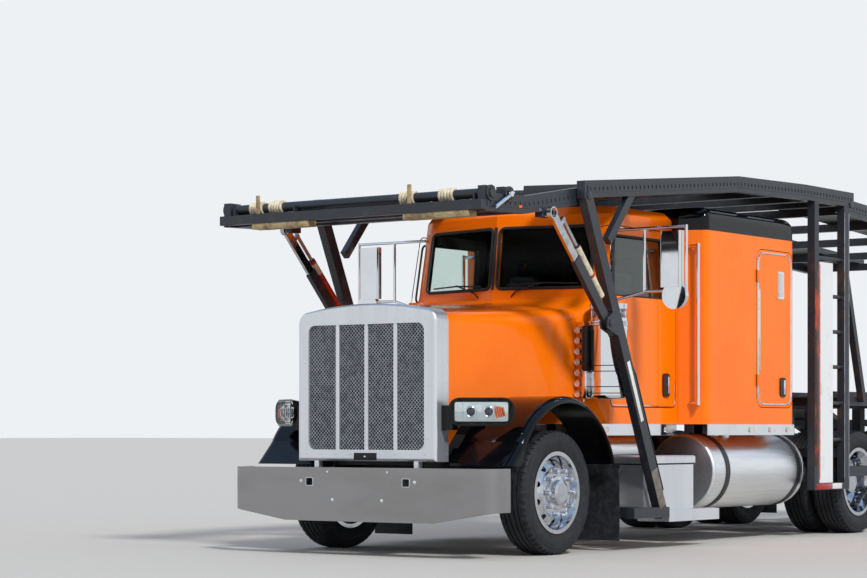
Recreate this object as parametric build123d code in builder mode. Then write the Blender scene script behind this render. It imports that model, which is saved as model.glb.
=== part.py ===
from build123d import *
import os

os.makedirs("parts", exist_ok=True)

# A long-nosed car transporter truck, in millimetres. +Z is up from the ground,
# -Y is the way it drives and +X is the driver's side. Lengths called "behind"
# are counted from the front axle towards the tail.

# Overall reach
nose_ahead = 1170
tail_behind = 8500
front_axle_y = nose_ahead - (nose_ahead + tail_behind) / 2

# Wheels
tyre_radius = 465
tyre_width = 265
rim_radius = 300
front_wheel_x = 975
dual_centre_x = 920
dual_spacing = 310
kingpin_x = 800
drive_axles = (4850, 6150)
lug_circle_radius = 167.5
lug_count = 10

# Chassis
rail_x = 430
rail_top = 900
rail_depth = 270
rail_flange = 90
rail_plate = 9
rail_front = -760
rail_rear = 7050

# Hood, grille and bumper
bumper_front = -1030
bumper_half_width = 1220
bumper_wrap_end = -810
bumper_top = 655
bumper_bottom = 255
bumper_end_bottom = 340
bumper_knee_x = 680
bumper_sheet = 8
surround_front = -930
surround_rear = -770
surround_half_width = 645
surround_bottom = 700
surround_top = 1870
grille_half_width = 540
grille_bottom = 786
grille_top = 1717
hood_rear = 630
hood_rear_half_width = 850
hood_rear_top = 1930
hood_skirt = 1150
hood_wall = 20
panel_gap = 6
fender_outer_x = 1200
fender_lip_radius = 720
fender_sheet = 18

# Cab and sleeper
cab_floor = 980
cab_half_width = 975
cab_rear = 1970
cab_wall = 50
door_front = 930
door_rear = 1945
windshield_base = 2030
windshield_top = 2575
cab_roof_top = 2700
sleeper_rear = 3590
sleeper_half_width = 1200
sleeper_roof_line = 2560
sleeper_roof_top = 2750

# Car deck and its rack
rack_inner_x = 1225
rack_outer_x = 1295
deck_rail_inner_x = 1150
deck_rail_outer_x = 1215
leg_foot = (1230, 250)
leg_top = (120, 2680)
strut_foot = (430, 1740)
strut_head = (-330, 2520)
post_feet_z = 410

running_gap = 0.3


def back(distance):
    """The Y of a place this far behind the front axle."""
    return front_axle_y + distance


def block(x, y, z, mode=Mode.ADD):
    """A box between a low and a high value along each axis."""
    with Locations(((x[0] + x[1]) / 2, (y[0] + y[1]) / 2, (z[0] + z[1]) / 2)):
        Box(x[1] - x[0], y[1] - y[0], z[1] - z[0], mode=mode)


def bar(start, end, width, depth, across=(1, 0, 0), mode=Mode.ADD):
    """A straight box section from start to end, its width along the across direction."""
    run = Vector(*end) - Vector(*start)
    along = run.normalized()
    side = Vector(*across) - along * Vector(*across).dot(along)
    with BuildSketch(Plane(origin=start, x_dir=side, z_dir=run)) as section:
        Rectangle(width, depth)
    extrude(section.sketch, amount=run.length, mode=mode)


def rod(start, end, radius, mode=Mode.ADD):
    """A straight round bar from start to end."""
    run = Vector(*end) - Vector(*start)
    with BuildSketch(Plane(origin=start, z_dir=run)) as section:
        Circle(radius)
    extrude(section.sketch, amount=run.length, mode=mode)


def both_sides():
    """Adds the other side of the truck to the piece that is being made."""
    mirror(about=Plane.YZ)


# Tyres and wheels. A rim is turned about the axle line: well, dished disc, hub and cap.
# Columns: name, axle's place behind the front axle, side of the truck (+1 is the driver's side).
front_wheels = (("left", 0, 1), ("right", 0, -1))
twin_wheels = (
    ("drive1_left", drive_axles[0], 1),
    ("drive1_right", drive_axles[0], -1),
    ("drive2_left", drive_axles[1], 1),
    ("drive2_right", drive_axles[1], -1),
)
rim_half_width = 105
bead_half_width = rim_half_width - running_gap
sidewall_bulge = tyre_width / 2
tread_half_width = tyre_width / 2 - 22
hand_hole_radius = 24
hand_hole_circle = 222
hub_cap_radius = 98
hub_radius = 135
lug_radius = 17
lug_length = 48
disc_plate = 14


def tyre_ring(centre_x):
    """One tyre about the X axis, its sidewalls bulging past the tread's edges."""
    with BuildSketch(Plane.XY) as section:
        with BuildLine():
            Polyline(
                (centre_x - bead_half_width, rim_radius - 6),
                (centre_x - bead_half_width, rim_radius + 12),
                (centre_x - sidewall_bulge, (rim_radius + tyre_radius) / 2),
                (centre_x - tread_half_width - 8, tyre_radius - 16),
                (centre_x - tread_half_width + 14, tyre_radius),
                (centre_x + tread_half_width - 14, tyre_radius),
                (centre_x + tread_half_width + 8, tyre_radius - 16),
                (centre_x + sidewall_bulge, (rim_radius + tyre_radius) / 2),
                (centre_x + bead_half_width, rim_radius + 12),
                (centre_x + bead_half_width, rim_radius - 6),
                close=True,
            )
        make_face()
    revolve(section.sketch, axis=Axis.X)


def rim_barrel(centre_x):
    """The rim that a tyre sits on: two lips and the drop between them."""
    with BuildSketch(Plane.XY) as section:
        with BuildLine():
            Polyline(
                (centre_x - rim_half_width - 12, rim_radius + 8),
                (centre_x - rim_half_width - 12, rim_radius - 22),
                (centre_x - 55, rim_radius - 52),
                (centre_x + 55, rim_radius - 52),
                (centre_x + rim_half_width + 12, rim_radius - 22),
                (centre_x + rim_half_width + 12, rim_radius + 8),
                (centre_x + rim_half_width, rim_radius + 8),
                (centre_x + rim_half_width, rim_radius - 7),
                (centre_x + 60, rim_radius - 36),
                (centre_x - 60, rim_radius - 36),
                (centre_x - rim_half_width, rim_radius - 7),
                (centre_x - rim_half_width, rim_radius + 8),
                close=True,
            )
        make_face()
    revolve(section.sketch, axis=Axis.X)


def turned(*outline):
    """A body of revolution about the X axis from points of x and radius."""
    with BuildSketch(Plane.XY) as section:
        with BuildLine():
            Polyline(*outline, close=True)
        make_face()
    revolve(section.sketch, axis=Axis.X)


def disc_holes(first_x, last_x):
    """The ring of hand holes through a wheel's disc."""
    with BuildSketch(Plane.YZ.offset(first_x)) as holes:
        with PolarLocations(hand_hole_circle, lug_count, start_angle=18):
            Circle(hand_hole_radius)
    extrude(holes.sketch, amount=last_x - first_x, mode=Mode.SUBTRACT)


def lug_covers(seat_x):
    """The ten long covers over the wheel nuts."""
    with BuildSketch(Plane.YZ.offset(seat_x)) as lugs:
        with PolarLocations(lug_circle_radius, lug_count):
            RegularPolygon(lug_radius, 6)
    extrude(lugs.sketch, amount=lug_length)


front_face_x = 110
drum_radius = 205
drum_width = 150
with BuildPart() as front_rim:
    rim_barrel(0)
    turned(
        (28, rim_radius - 40),
        (62, rim_radius - 62),
        (front_face_x - 18, 196),
        (front_face_x, 186),
        (front_face_x, 140),
        (front_face_x, 0),
        (front_face_x - disc_plate, 0),
        (front_face_x - disc_plate, 180),
        (62 - disc_plate, rim_radius - 74),
        (28 - disc_plate, rim_radius - 40),
    )
    disc_holes(20, front_face_x)
    turned(
        (front_face_x - 1, 0),
        (front_face_x - 1, hub_radius - 6),
        (front_face_x + 12, hub_radius - 12),
        (front_face_x + 14, hub_cap_radius),
        (front_face_x + 44, hub_cap_radius - 6),
        (front_face_x + 54, hub_cap_radius - 26),
        (front_face_x + 54, 0),
    )
    lug_covers(front_face_x - 1)
    turned(
        (front_face_x - disc_plate + 1, 0),
        (front_face_x - disc_plate + 1, 150),
        (-40, 150),
        (-40, drum_radius),
        (-140, drum_radius),
        (-140, drum_radius - 14),
        (-54, drum_radius - 14),
        (-54, 62),
        (-88, 62),
        (-88, 40),
        (-20, 40),
        (-20, 0),
    )

twin_offset = dual_spacing / 2
with BuildPart() as twin_rim:
    rim_barrel(-twin_offset)
    rim_barrel(twin_offset)
    turned(
        (0, 0),
        (0, 196),
        (twin_offset - 40, rim_radius - 44),
        (twin_offset - 20, rim_radius - 44),
        (disc_plate, 186),
        (disc_plate, 0),
    )
    turned(
        (0, 0),
        (0, 196),
        (40 - twin_offset, rim_radius - 44),
        (20 - twin_offset, rim_radius - 44),
        (-disc_plate, 186),
        (-disc_plate, 0),
    )
    disc_holes(-twin_offset, twin_offset)
    turned(
        (disc_plate - 1, 0),
        (disc_plate - 1, hub_radius),
        (150, hub_radius - 10),
        (170, 108),
        (205, 100),
        (212, 82),
        (212, 0),
    )
    lug_covers(disc_plate - 1)
    turned(
        (-disc_plate, 0),
        (-disc_plate, drum_radius),
        (-disc_plate - drum_width, drum_radius),
        (-disc_plate - drum_width, drum_radius - 16),
        (-disc_plate - 20, drum_radius - 16),
        (-disc_plate - 20, 85),
        (-disc_plate - 90, 85),
        (-disc_plate - 90, 60),
        (-disc_plate - 16, 60),
        (-disc_plate - 16, 0),
    )

with BuildPart() as front_tyre:
    tyre_ring(0)

with BuildPart() as twin_tyres:
    tyre_ring(-twin_offset)
    tyre_ring(twin_offset)

for name, behind, side in front_wheels:
    hub = Location((side * front_wheel_x, back(behind), tyre_radius), (0, 0, 90 - 90 * side))
    with BuildPart() as rim:
        with Locations(hub):
            add(front_rim.part)
    rim.part.label = f"rim_front_{name}"
    export_step(rim.part, f"parts/rim_front_{name}.step")
    with BuildPart() as tyre:
        with Locations(hub):
            add(front_tyre.part)
    tyre.part.label = f"tyre_front_{name}"
    export_step(tyre.part, f"parts/tyre_front_{name}.step")

for name, behind, side in twin_wheels:
    hub = Location((side * dual_centre_x, back(behind), tyre_radius), (0, 0, 90 - 90 * side))
    with BuildPart() as rim:
        with Locations(hub):
            add(twin_rim.part)
    rim.part.label = f"rims_{name}"
    export_step(rim.part, f"parts/rims_{name}.step")
    with BuildPart() as tyre:
        with Locations(hub):
            add(twin_tyres.part)
    tyre.part.label = f"tyres_{name}"
    export_step(tyre.part, f"parts/tyres_{name}.step")

# Chassis: two channel rails, their cross members, hangers for what the rails carry, and a
# tail that drops to the towing head low behind the last axle.
rail_bottom = rail_top - rail_depth
cross_member_places = (-690, 1760, 2650, 3350, 4180, 5500, 6800)
cross_member_half = 45
box_bottom = 300
box_top = 730
box_inner_x = 885
box_outer_x = 1200
box_front = 1070
box_rear = 1870
air_tank_x = 770
air_tank_z = 780
air_tank_radius = 105
hanger_places = (1230, 1700)
hanger_depth = 60
hanger_top = air_tank_z - air_tank_radius - running_gap
hitch_behind = 7950
hitch_top = 560
hitch_pin_radius = 25.4
neck_width = 120
neck_depth = 170
rack_beam_z = (250, 330)
bumper_bracket_x = (335, rail_x)
gearbox_rear = 1650
shaft_radius = 55
shaft_start_z = 740
axle_shaft_z = tyre_radius + 20
shaft_tunnel = shaft_radius + 35
cab_mount_places = (1050, 1800, 2300, 3400)
hood_pivot = (-900, 600)
hood_pin_radius = 15
hood_lug_x = (445, 485)

with BuildPart() as frame_rails:
    with BuildSketch(Plane.XZ.offset(-back(rail_rear))):
        with Locations((rail_x - rail_flange / 2, rail_top - rail_depth / 2)):
            Rectangle(rail_flange, rail_depth)
        with Locations((rail_x - rail_plate - rail_flange / 2, rail_top - rail_depth / 2)):
            Rectangle(rail_flange, rail_depth - 2 * rail_plate, mode=Mode.SUBTRACT)
    extrude(amount=rail_rear - rail_front)
    for place in cross_member_places:
        block(
            (-1, rail_x - rail_plate),
            (back(place - cross_member_half), back(place + cross_member_half)),
            (rail_bottom + 40, rail_top - 60),
        )
    for place in hanger_places:
        block(
            (rail_x - 1, box_inner_x - running_gap),
            (back(place - 30), back(place + 30)),
            (hanger_top - hanger_depth, hanger_top),
        )
    bar(
        (rail_x - neck_width / 2, back(rail_rear - 350), rail_bottom + neck_depth / 2),
        (rail_x - neck_width / 2, back(hitch_behind - 60), hitch_top - 40 - neck_depth / 2),
        neck_width,
        neck_depth,
    )
    block(
        (-1, rail_x),
        (back(hitch_behind - 200), back(hitch_behind - 60)),
        (hitch_top - 210, hitch_top - 40),
    )
    block((-1, 150), (back(hitch_behind - 120), back(hitch_behind + 120)), (hitch_top - 90, hitch_top))
    rod((0, back(hitch_behind), hitch_top - 91), (0, back(hitch_behind), hitch_top + 1), hitch_pin_radius,
        mode=Mode.SUBTRACT)
    block((bumper_bracket_x[0], bumper_bracket_x[1]),
          (back(bumper_front + bumper_sheet + running_gap), back(rail_front + 100)),
          (bumper_top - 210, rail_bottom + 1))
    for place in cab_mount_places:
        block((rail_x - 85, rail_x), (back(place - 60), back(place + 60)), (rail_top - 1, cab_floor - running_gap))
    rod((rail_x - 20, back(hood_pivot[0]), hood_pivot[1]), (hood_lug_x[1] + 8, back(hood_pivot[0]), hood_pivot[1]),
        hood_pin_radius)
    rod((0, back(gearbox_rear - 200), shaft_start_z), (0, back(drive_axles[0]), axle_shaft_z), shaft_tunnel,
        mode=Mode.SUBTRACT)
    rod((0, back(drive_axles[0]), axle_shaft_z), (0, back(drive_axles[1]), axle_shaft_z), shaft_tunnel,
        mode=Mode.SUBTRACT)
    both_sides()
frame_rails.part.label = "frame_rails"
export_step(frame_rails.part, "parts/frame_rails.step")

# Front axle: a forged beam that drops under the rails, on two leaf springs.
beam_width = 110
beam_depth = 90
beam_drop_x = 560
beam_low_z = 385
spring_half_length = 620
spring_width = 90
spring_x = rail_x - 5
leaf_thickness = 16
spring_rise = 110
spring_seat_z = beam_low_z + beam_depth / 2
kingpin_radius = 30

with BuildPart() as front_axle:
    block((-1, beam_drop_x), (back(-beam_width / 2), back(beam_width / 2)),
          (beam_low_z - beam_depth / 2, beam_low_z + beam_depth / 2))
    bar(
        (beam_drop_x - 30, back(0), beam_low_z),
        (kingpin_x - 65, back(0), tyre_radius),
        beam_width,
        beam_depth,
        across=(0, 1, 0),
    )
    with BuildSketch(Plane.XY.offset(tyre_radius - 55)) as kingpin_boss:
        with Locations((kingpin_x, back(0))):
            Circle(60)
        with Locations((kingpin_x - 45, back(0))):
            Rectangle(90, 100)
        with Locations((kingpin_x, back(0))):
            Circle(kingpin_radius + 0.1, mode=Mode.SUBTRACT)
    extrude(kingpin_boss.sketch, amount=110)
    with BuildSketch(Plane.YZ.offset(spring_x - spring_width / 2)) as leaves:
        with BuildLine():
            upper = ThreePointArc(
                (back(-spring_half_length), spring_seat_z + 4 * leaf_thickness + spring_rise),
                (back(0), spring_seat_z + 4 * leaf_thickness),
                (back(spring_half_length), spring_seat_z + 4 * leaf_thickness + spring_rise),
            )
            Polyline(
                upper @ 1,
                (back(spring_half_length), spring_seat_z + 3 * leaf_thickness + spring_rise),
                (back(spring_half_length - 160), spring_seat_z + 2 * leaf_thickness + spring_rise / 2),
                (back(140), spring_seat_z - 1),
                (back(-140), spring_seat_z - 1),
                (back(160 - spring_half_length), spring_seat_z + 2 * leaf_thickness + spring_rise / 2),
                (back(-spring_half_length), spring_seat_z + 3 * leaf_thickness + spring_rise),
                upper @ 0,
            )
        make_face()
    extrude(leaves.sketch, amount=spring_width)
    for end in (-spring_half_length, spring_half_length):
        block(
            (spring_x - spring_width / 2, rail_x - rail_plate - 1),
            (back(end - 40), back(end + 40)),
            (spring_seat_z + 3 * leaf_thickness + spring_rise - 20, rail_bottom - running_gap),
        )
    both_sides()
front_axle.part.label = "front_axle"

# Steering knuckles: a fork on the king pin, the stub axle and the steering arm.
fork_half_height = 95
fork_gap = 57
stub_radius = 39.9
fork_web_x = kingpin_x + 72
for name, behind, side in front_wheels:
    with BuildPart() as knuckle:
        rod((side * kingpin_x, back(behind), tyre_radius - fork_half_height),
            (side * kingpin_x, back(behind), tyre_radius + fork_half_height), kingpin_radius)
        for low, high in ((-fork_half_height, -fork_gap), (fork_gap, fork_half_height)):
            rod((side * kingpin_x, back(behind), tyre_radius + low),
                (side * kingpin_x, back(behind), tyre_radius + high), 48)
        bar((side * fork_web_x, back(behind), tyre_radius - fork_half_height),
            (side * fork_web_x, back(behind), tyre_radius + fork_half_height),
            16, 100)
        for height in (19 - fork_half_height, fork_half_height - 19):
            bar((side * kingpin_x, back(behind), tyre_radius + height),
                (side * fork_web_x, back(behind), tyre_radius + height), 80, 38, across=(0, 1, 0))
        rod((side * fork_web_x, back(behind), tyre_radius),
            (side * (front_wheel_x - 25), back(behind), tyre_radius), stub_radius)
        bar((side * (kingpin_x + 20), back(behind), tyre_radius - 76),
            (side * (kingpin_x - 50), back(behind + 210), tyre_radius - 76), 34, 50, across=(0, 0, 1))
    knuckle.part.label = f"knuckle_{name}"
    export_step(knuckle.part, f"parts/knuckle_{name}.step")

# Drive axles: a housing with its bowl in the middle, trailing beams and air springs.
axle_tube_radius = 62
bowl_radius = 210
spindle_radius = 59.9
bag_radius = 120
bag_top = rail_bottom - running_gap
hub_inner_x = dual_centre_x - disc_plate - 17

with BuildPart() as drive_axles_part:
    for behind in drive_axles:
        with BuildSketch(Plane.XY.offset(tyre_radius)) as housing:
            with BuildLine():
                Polyline(
                    (-1, back(behind - bowl_radius)),
                    (120, back(behind - bowl_radius)),
                    (300, back(behind - axle_tube_radius)),
                    (300, back(behind)),
                    (-1, back(behind)),
                    close=True,
                )
            make_face()
        revolve(housing.sketch, axis=Axis((0, back(behind), tyre_radius), (1, 0, 0)))
        rod((299, back(behind), tyre_radius), (hub_inner_x, back(behind), tyre_radius), spindle_radius)
        bar((rail_x - 45, back(behind - 520), rail_bottom - 90), (rail_x - 45, back(behind), tyre_radius - 75),
            80, 50)
        bar((rail_x - 45, back(behind - 5), tyre_radius - 75), (rail_x - 45, back(behind + 330), tyre_radius - 75),
            80, 50)
        block((rail_x - 90, rail_x), (back(behind - 560), back(behind - 480)),
              (rail_bottom - 150, rail_bottom - running_gap))
        rod((rail_x - 45, back(behind + 290), tyre_radius - 51), (rail_x - 45, back(behind + 290), bag_top),
            bag_radius)
    both_sides()
drive_axles_part.part.label = "drive_axles"

with BuildPart() as axles:
    add(front_axle.part)
    add(drive_axles_part.part)
axles.part.label = "axles"
export_step(axles.part, "parts/axles.step")

# Engine: one plain mass with its sump, sitting between the rails under the hood.
engine_half_width = 330
engine_front = -540
engine_rear = 600
engine_bottom = 640
engine_top = 1500
sump_bottom = 430
engine_mount_places = (-300, 350)
with BuildPart() as engine:
    block((-engine_half_width, engine_half_width), (back(engine_front), back(engine_rear)),
          (engine_bottom, engine_top))
    block((-150, 150), (back(60), back(engine_rear - 60)), (sump_bottom, engine_bottom + 1))
    block((-110, 110), (back(engine_front + 130), back(60)), (spring_seat_z + 30, engine_bottom + 1))
    chamfer(engine.edges().filter_by(Axis.Y).group_by(Axis.Z)[-1], 90)
    for side in (-1, 1):
        for place in engine_mount_places:
            block(sorted((side * (engine_half_width - 1), side * (rail_x - rail_plate - running_gap))),
                  (back(place - 50), back(place + 50)), (700, 800))
engine.part.label = "engine"

# Gearbox and the shafts to the two drive axles.
with BuildPart() as driveline:
    with BuildSketch(Plane.XZ.offset(-back(engine_rear))) as bell:
        with Locations((0, 760)):
            Circle(200)
    with BuildSketch(Plane.XZ.offset(-back(engine_rear + 200))) as bell_end:
        with Locations((0, 760)):
            Circle(170)
    loft([bell.sketch.face(), bell_end.sketch.face()])
    block((-165, 165), (back(engine_rear + 199), back(gearbox_rear)), (600, 915))
    rod((0, back(gearbox_rear - 1), shaft_start_z),
        (0, back(drive_axles[0] - bowl_radius - 2), axle_shaft_z), shaft_radius)
    rod((0, back(drive_axles[0] + bowl_radius + running_gap), axle_shaft_z),
        (0, back(drive_axles[1] - bowl_radius - running_gap), axle_shaft_z), shaft_radius)
driveline.part.label = "driveline"

with BuildPart() as powertrain:
    add(engine.part)
    add(driveline.part)
powertrain.part.label = "powertrain"
export_step(powertrain.part, "parts/powertrain.step")

# Radiator, close behind the grille and carried on the rails.
radiator_front = -700
radiator_depth = 70
radiator_half_width = 500
radiator_top = 1700
with BuildPart() as radiator:
    block((-radiator_half_width, radiator_half_width),
          (back(radiator_front), back(radiator_front + radiator_depth)),
          (rail_top + running_gap, radiator_top))
    fillet(radiator.edges().filter_by(Axis.Y).group_by(Axis.Z)[-1], 60)
radiator.part.label = "radiator"
export_step(radiator.part, "parts/radiator.step")

# Fuel tanks, lying along the rails, each in two straps that hook over a bracket.
tank_radius = 310
tank_x = 880
tank_z = 590
tank_front = 2200
tank_rear = 3800
strap_places = (2430, 3680)
strap_width = 60
strap_thickness = 6
with BuildPart() as fuel_tanks:
    rod((tank_x, back(tank_front), tank_z), (tank_x, back(tank_rear), tank_z), tank_radius)
    fillet(fuel_tanks.edges(), 22)
    rod((tank_x + 60, back(tank_front + 420), tank_z + tank_radius - 20),
        (tank_x + 60, back(tank_front + 420), tank_z + tank_radius + 40), 45)
    both_sides()
fuel_tanks.part.label = "fuel_tanks"

with BuildPart() as tank_straps:
    for place in strap_places:
        with BuildSketch(Plane.XZ.offset(-back(place + strap_width / 2))) as strap:
            with Locations((tank_x, tank_z)):
                Circle(tank_radius + running_gap + strap_thickness)
            with BuildLine():
                Polyline(
                    (rail_x + running_gap, rail_bottom - 330 + 150),
                    (rail_x + running_gap, rail_top - 20),
                    (rail_x + 60, rail_top - 20),
                    (tank_x - 200, tank_z + 40),
                    (tank_x - 60, tank_z - tank_radius - strap_thickness),
                    (tank_x - 180, tank_z - tank_radius - strap_thickness),
                    close=True,
                )
            make_face()
            with Locations((tank_x, tank_z)):
                Circle(tank_radius + running_gap, mode=Mode.SUBTRACT)
        extrude(strap.sketch, amount=strap_width)
    both_sides()
tank_straps.part.label = "tank_straps"
export_step(tank_straps.part, "parts/tank_straps.step")

# Air tanks, small and high beside the rails behind the front wheels, kept with the fuel tanks.
with BuildPart() as tanks:
    rod((air_tank_x, back(860), air_tank_z), (air_tank_x, back(1780), air_tank_z), air_tank_radius)
    fillet(tanks.edges(), 40)
    both_sides()
    add(fuel_tanks.part)
tanks.part.label = "tanks"
export_step(tanks.part, "parts/tanks.step")

# Battery boxes with a lift-off cover and the step below it.
step_front = 1300
step_rear = 2100
step_outer_x = 1290
step_bottom = 212
cover_depth = 60
with BuildPart() as battery_boxes:
    block((box_inner_x, box_outer_x - 12), (back(box_front + 12), back(box_rear - 12)),
          (box_bottom, box_top - cover_depth + 1))
    block((box_inner_x, box_outer_x), (back(box_front), back(box_rear)), (box_top - cover_depth, box_top))
    chamfer(battery_boxes.edges().group_by(Axis.Z)[-1], 10)
    block((box_outer_x - 200, step_outer_x), (back(step_front + 5), back(step_rear)), (step_bottom, box_bottom + 1))
    both_sides()
battery_boxes.part.label = "battery_boxes"
export_step(battery_boxes.part, "parts/battery_boxes.step")

# Bumper: one deep bent sheet with rounded ends, a folded top edge and two tow openings.
bumper_corner_radius = 110
bumper_fold = 45
tow_hole = (65, 60)
tow_hole_x = 450
tow_hole_z = 547


def bumper_strip(width, low, high):
    """A strip that follows the bumper's plan, this wide and between two heights."""
    with BuildSketch(Plane.XY.offset(low)) as plan:
        with BuildLine():
            FilletPolyline(
                (-bumper_half_width, back(bumper_wrap_end)),
                (-bumper_half_width, back(bumper_front)),
                (bumper_half_width, back(bumper_front)),
                (bumper_half_width, back(bumper_wrap_end)),
                radius=bumper_corner_radius,
            )
            offset(amount=width, side=Side.LEFT)
        make_face()
    extrude(plan.sketch, amount=high - low)


with BuildPart() as bumper:
    bumper_strip(bumper_sheet, bumper_bottom, bumper_top)
    bumper_strip(bumper_fold, bumper_top - bumper_sheet, bumper_top)
    with BuildSketch(Plane.XZ.offset(-back(bumper_wrap_end + 1))) as corners:
        for side in (-1, 1):
            with BuildLine():
                Polyline(
                    (side * bumper_knee_x, bumper_bottom - 1),
                    (side * (bumper_half_width + 1), bumper_end_bottom),
                    (side * (bumper_half_width + 1), bumper_bottom - 1),
                    close=True,
                )
            make_face()
    extrude(corners.sketch, amount=400, mode=Mode.SUBTRACT)
    with BuildSketch(Plane.XZ.offset(-back(bumper_front + 40))) as holes:
        for side in (-1, 1):
            with Locations((side * tow_hole_x, tow_hole_z)):
                RectangleRounded(*tow_hole, 8)
    extrude(holes.sketch, amount=60, mode=Mode.SUBTRACT)
bumper.part.label = "bumper"
export_step(bumper.part, "parts/bumper.step")

# Hood: a tall tapering shell, square-shouldered, that tilts forward with its fenders.
hood_front_half_width = 632
hood_front_top = 1862
hood_shoulder_drop = 62
hood_corner = 120
hood_front_skirt = 800
hood_diagonal = ((-640, 960), (-560, hood_skirt))


def hood_loft(inset):
    """The hood's outer form, or one shrunk inwards by the inset."""
    sections = []
    for behind, half, crown in (
        (surround_rear, hood_front_half_width, hood_front_top),
        (hood_rear, hood_rear_half_width, hood_rear_top),
    ):
        side = half - inset
        shoulder = crown - hood_shoulder_drop - inset
        corner = hood_corner - inset
        bend = corner * (1 - 0.5 ** 0.5)
        with BuildSketch(Plane.XZ.offset(-back(behind))) as section:
            with BuildLine():
                Line((side, hood_front_skirt - abs(inset)), (side, shoulder - corner))
                ThreePointArc((side, shoulder - corner), (side - bend, shoulder - bend), (side - corner, shoulder))
                ThreePointArc((side - corner, shoulder), (0, crown - inset), (corner - side, shoulder))
                ThreePointArc((corner - side, shoulder), (bend - side, shoulder - bend), (-side, shoulder - corner))
                Line((-side, shoulder - corner), (-side, hood_front_skirt - abs(inset)))
                Line((-side, hood_front_skirt - abs(inset)), (side, hood_front_skirt - abs(inset)))
            make_face()
        sections.append(section.sketch.face())
    return sections


with BuildPart() as hood:
    loft(hood_loft(0))
    loft(hood_loft(hood_wall), mode=Mode.SUBTRACT)
    with BuildSketch(Plane.YZ.offset(-1000)) as under:
        with BuildLine():
            Polyline(
                (back(surround_rear - 1), hood_front_skirt - 1),
                (back(surround_rear), hood_front_skirt),
                *((back(place), height) for place, height in hood_diagonal),
                (back(hood_rear + 1), hood_skirt),
                (back(hood_rear + 1), hood_front_skirt - 50),
                (back(surround_rear - 1), hood_front_skirt - 50),
                close=True,
            )
        make_face()
    extrude(under.sketch, amount=2000, mode=Mode.SUBTRACT)
hood.part.label = "hood"
export_step(hood.part, "parts/hood.step")

# Grille surround: a deep bright shell with a crowned top and one large opening.
surround_sheet = 18
surround_corner = 95
surround_edge_radius = 26
surround_shoulder_drop = 48
grille_corner = 58
surround_lip = 22


def surround_outline(inset):
    """The edges of the surround seen from the front, or of that outline shrunk inwards."""
    half = surround_half_width - inset
    low = surround_bottom + inset
    shoulder = surround_top - surround_shoulder_drop - inset
    corner = surround_corner - inset
    bend = corner * (1 - 0.5 ** 0.5)
    with BuildLine() as outline:
        Polyline((half, shoulder - corner), (half, low), (-half, low), (-half, shoulder - corner))
        ThreePointArc((-half, shoulder - corner), (bend - half, shoulder - bend), (corner - half, shoulder))
        ThreePointArc((corner - half, shoulder), (0, surround_top - inset), (half - corner, shoulder))
        ThreePointArc((half - corner, shoulder), (half - bend, shoulder - bend), (half, shoulder - corner))
    return outline.edges()


grille_centre_z = (grille_bottom + grille_top) / 2
grille_height = grille_top - grille_bottom
with BuildPart() as grille_surround:
    with BuildSketch(Plane.XZ.offset(-back(surround_rear))) as shell:
        make_face(surround_outline(0))
    extrude(shell.sketch, amount=surround_rear - surround_front)
    fillet(grille_surround.edges().group_by(Axis.Y)[0], surround_edge_radius)
    with BuildSketch(Plane.XZ.offset(-back(surround_rear))) as hollow:
        make_face(surround_outline(surround_sheet))
    extrude(hollow.sketch, amount=surround_rear - surround_front - surround_lip, mode=Mode.SUBTRACT)
    with BuildSketch(Plane.XZ.offset(-back(surround_rear))) as opening:
        with Locations((0, grille_centre_z)):
            RectangleRounded(2 * grille_half_width, grille_height, grille_corner)
    extrude(opening.sketch, amount=surround_rear - surround_front, mode=Mode.SUBTRACT)
grille_surround.part.label = "grille_shell"

# Grille: a woven screen held behind the opening, and three bright bars in front of it.
screen_thickness = 5
bar_width = 34
bar_depth = 16
screen_margin = 26
screen_front = surround_front + surround_lip + running_gap
with BuildPart() as grille_screen:
    with BuildSketch(Plane.XZ.offset(-back(screen_front + screen_thickness))) as screen:
        with Locations((0, grille_centre_z)):
            RectangleRounded(
                2 * (grille_half_width + screen_margin), grille_height + 2 * screen_margin,
                grille_corner + screen_margin,
            )
    extrude(screen.sketch, amount=screen_thickness)
grille_screen.part.label = "grille_screen"
export_step(grille_screen.part, "parts/grille_screen.step")

with BuildPart() as grille_bars:
    for quarter in (-1, 0, 1):
        block(
            (quarter * grille_half_width / 2 - bar_width / 2, quarter * grille_half_width / 2 + bar_width / 2),
            (back(screen_front - running_gap - bar_depth), back(screen_front - running_gap)),
            (grille_bottom - 3, grille_top + 3),
        )
    fillet(grille_bars.edges().filter_by(Axis.Z).group_by(Axis.Y)[0], 7)

with BuildPart() as grille_frame:
    block(hood_lug_x, (back(hood_pivot[0] - 25), back(hood_pivot[0] + 25)), (hood_pivot[1] - 25, surround_bottom + 3))
    rod((hood_lug_x[0] - 1, back(hood_pivot[0]), hood_pivot[1]), (hood_lug_x[1] + 1, back(hood_pivot[0]), hood_pivot[1]),
        hood_pin_radius + running_gap, mode=Mode.SUBTRACT)
    both_sides()
    add(grille_surround.part)
    add(grille_bars.part)
grille_frame.part.label = "grille_surround"
export_step(grille_frame.part, "parts/grille_surround.step")

# Front fenders: arched over the wheels, closed in front, with a rolled outer lip.
fender_inner_x = 610
fender_shoulder = 62
fender_lip_depth = 46
fender_front_toe = (-785, 672)
fender_rear_foot = 430
fender_front_angle = 148
fender_rear_angle = 11


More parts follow.
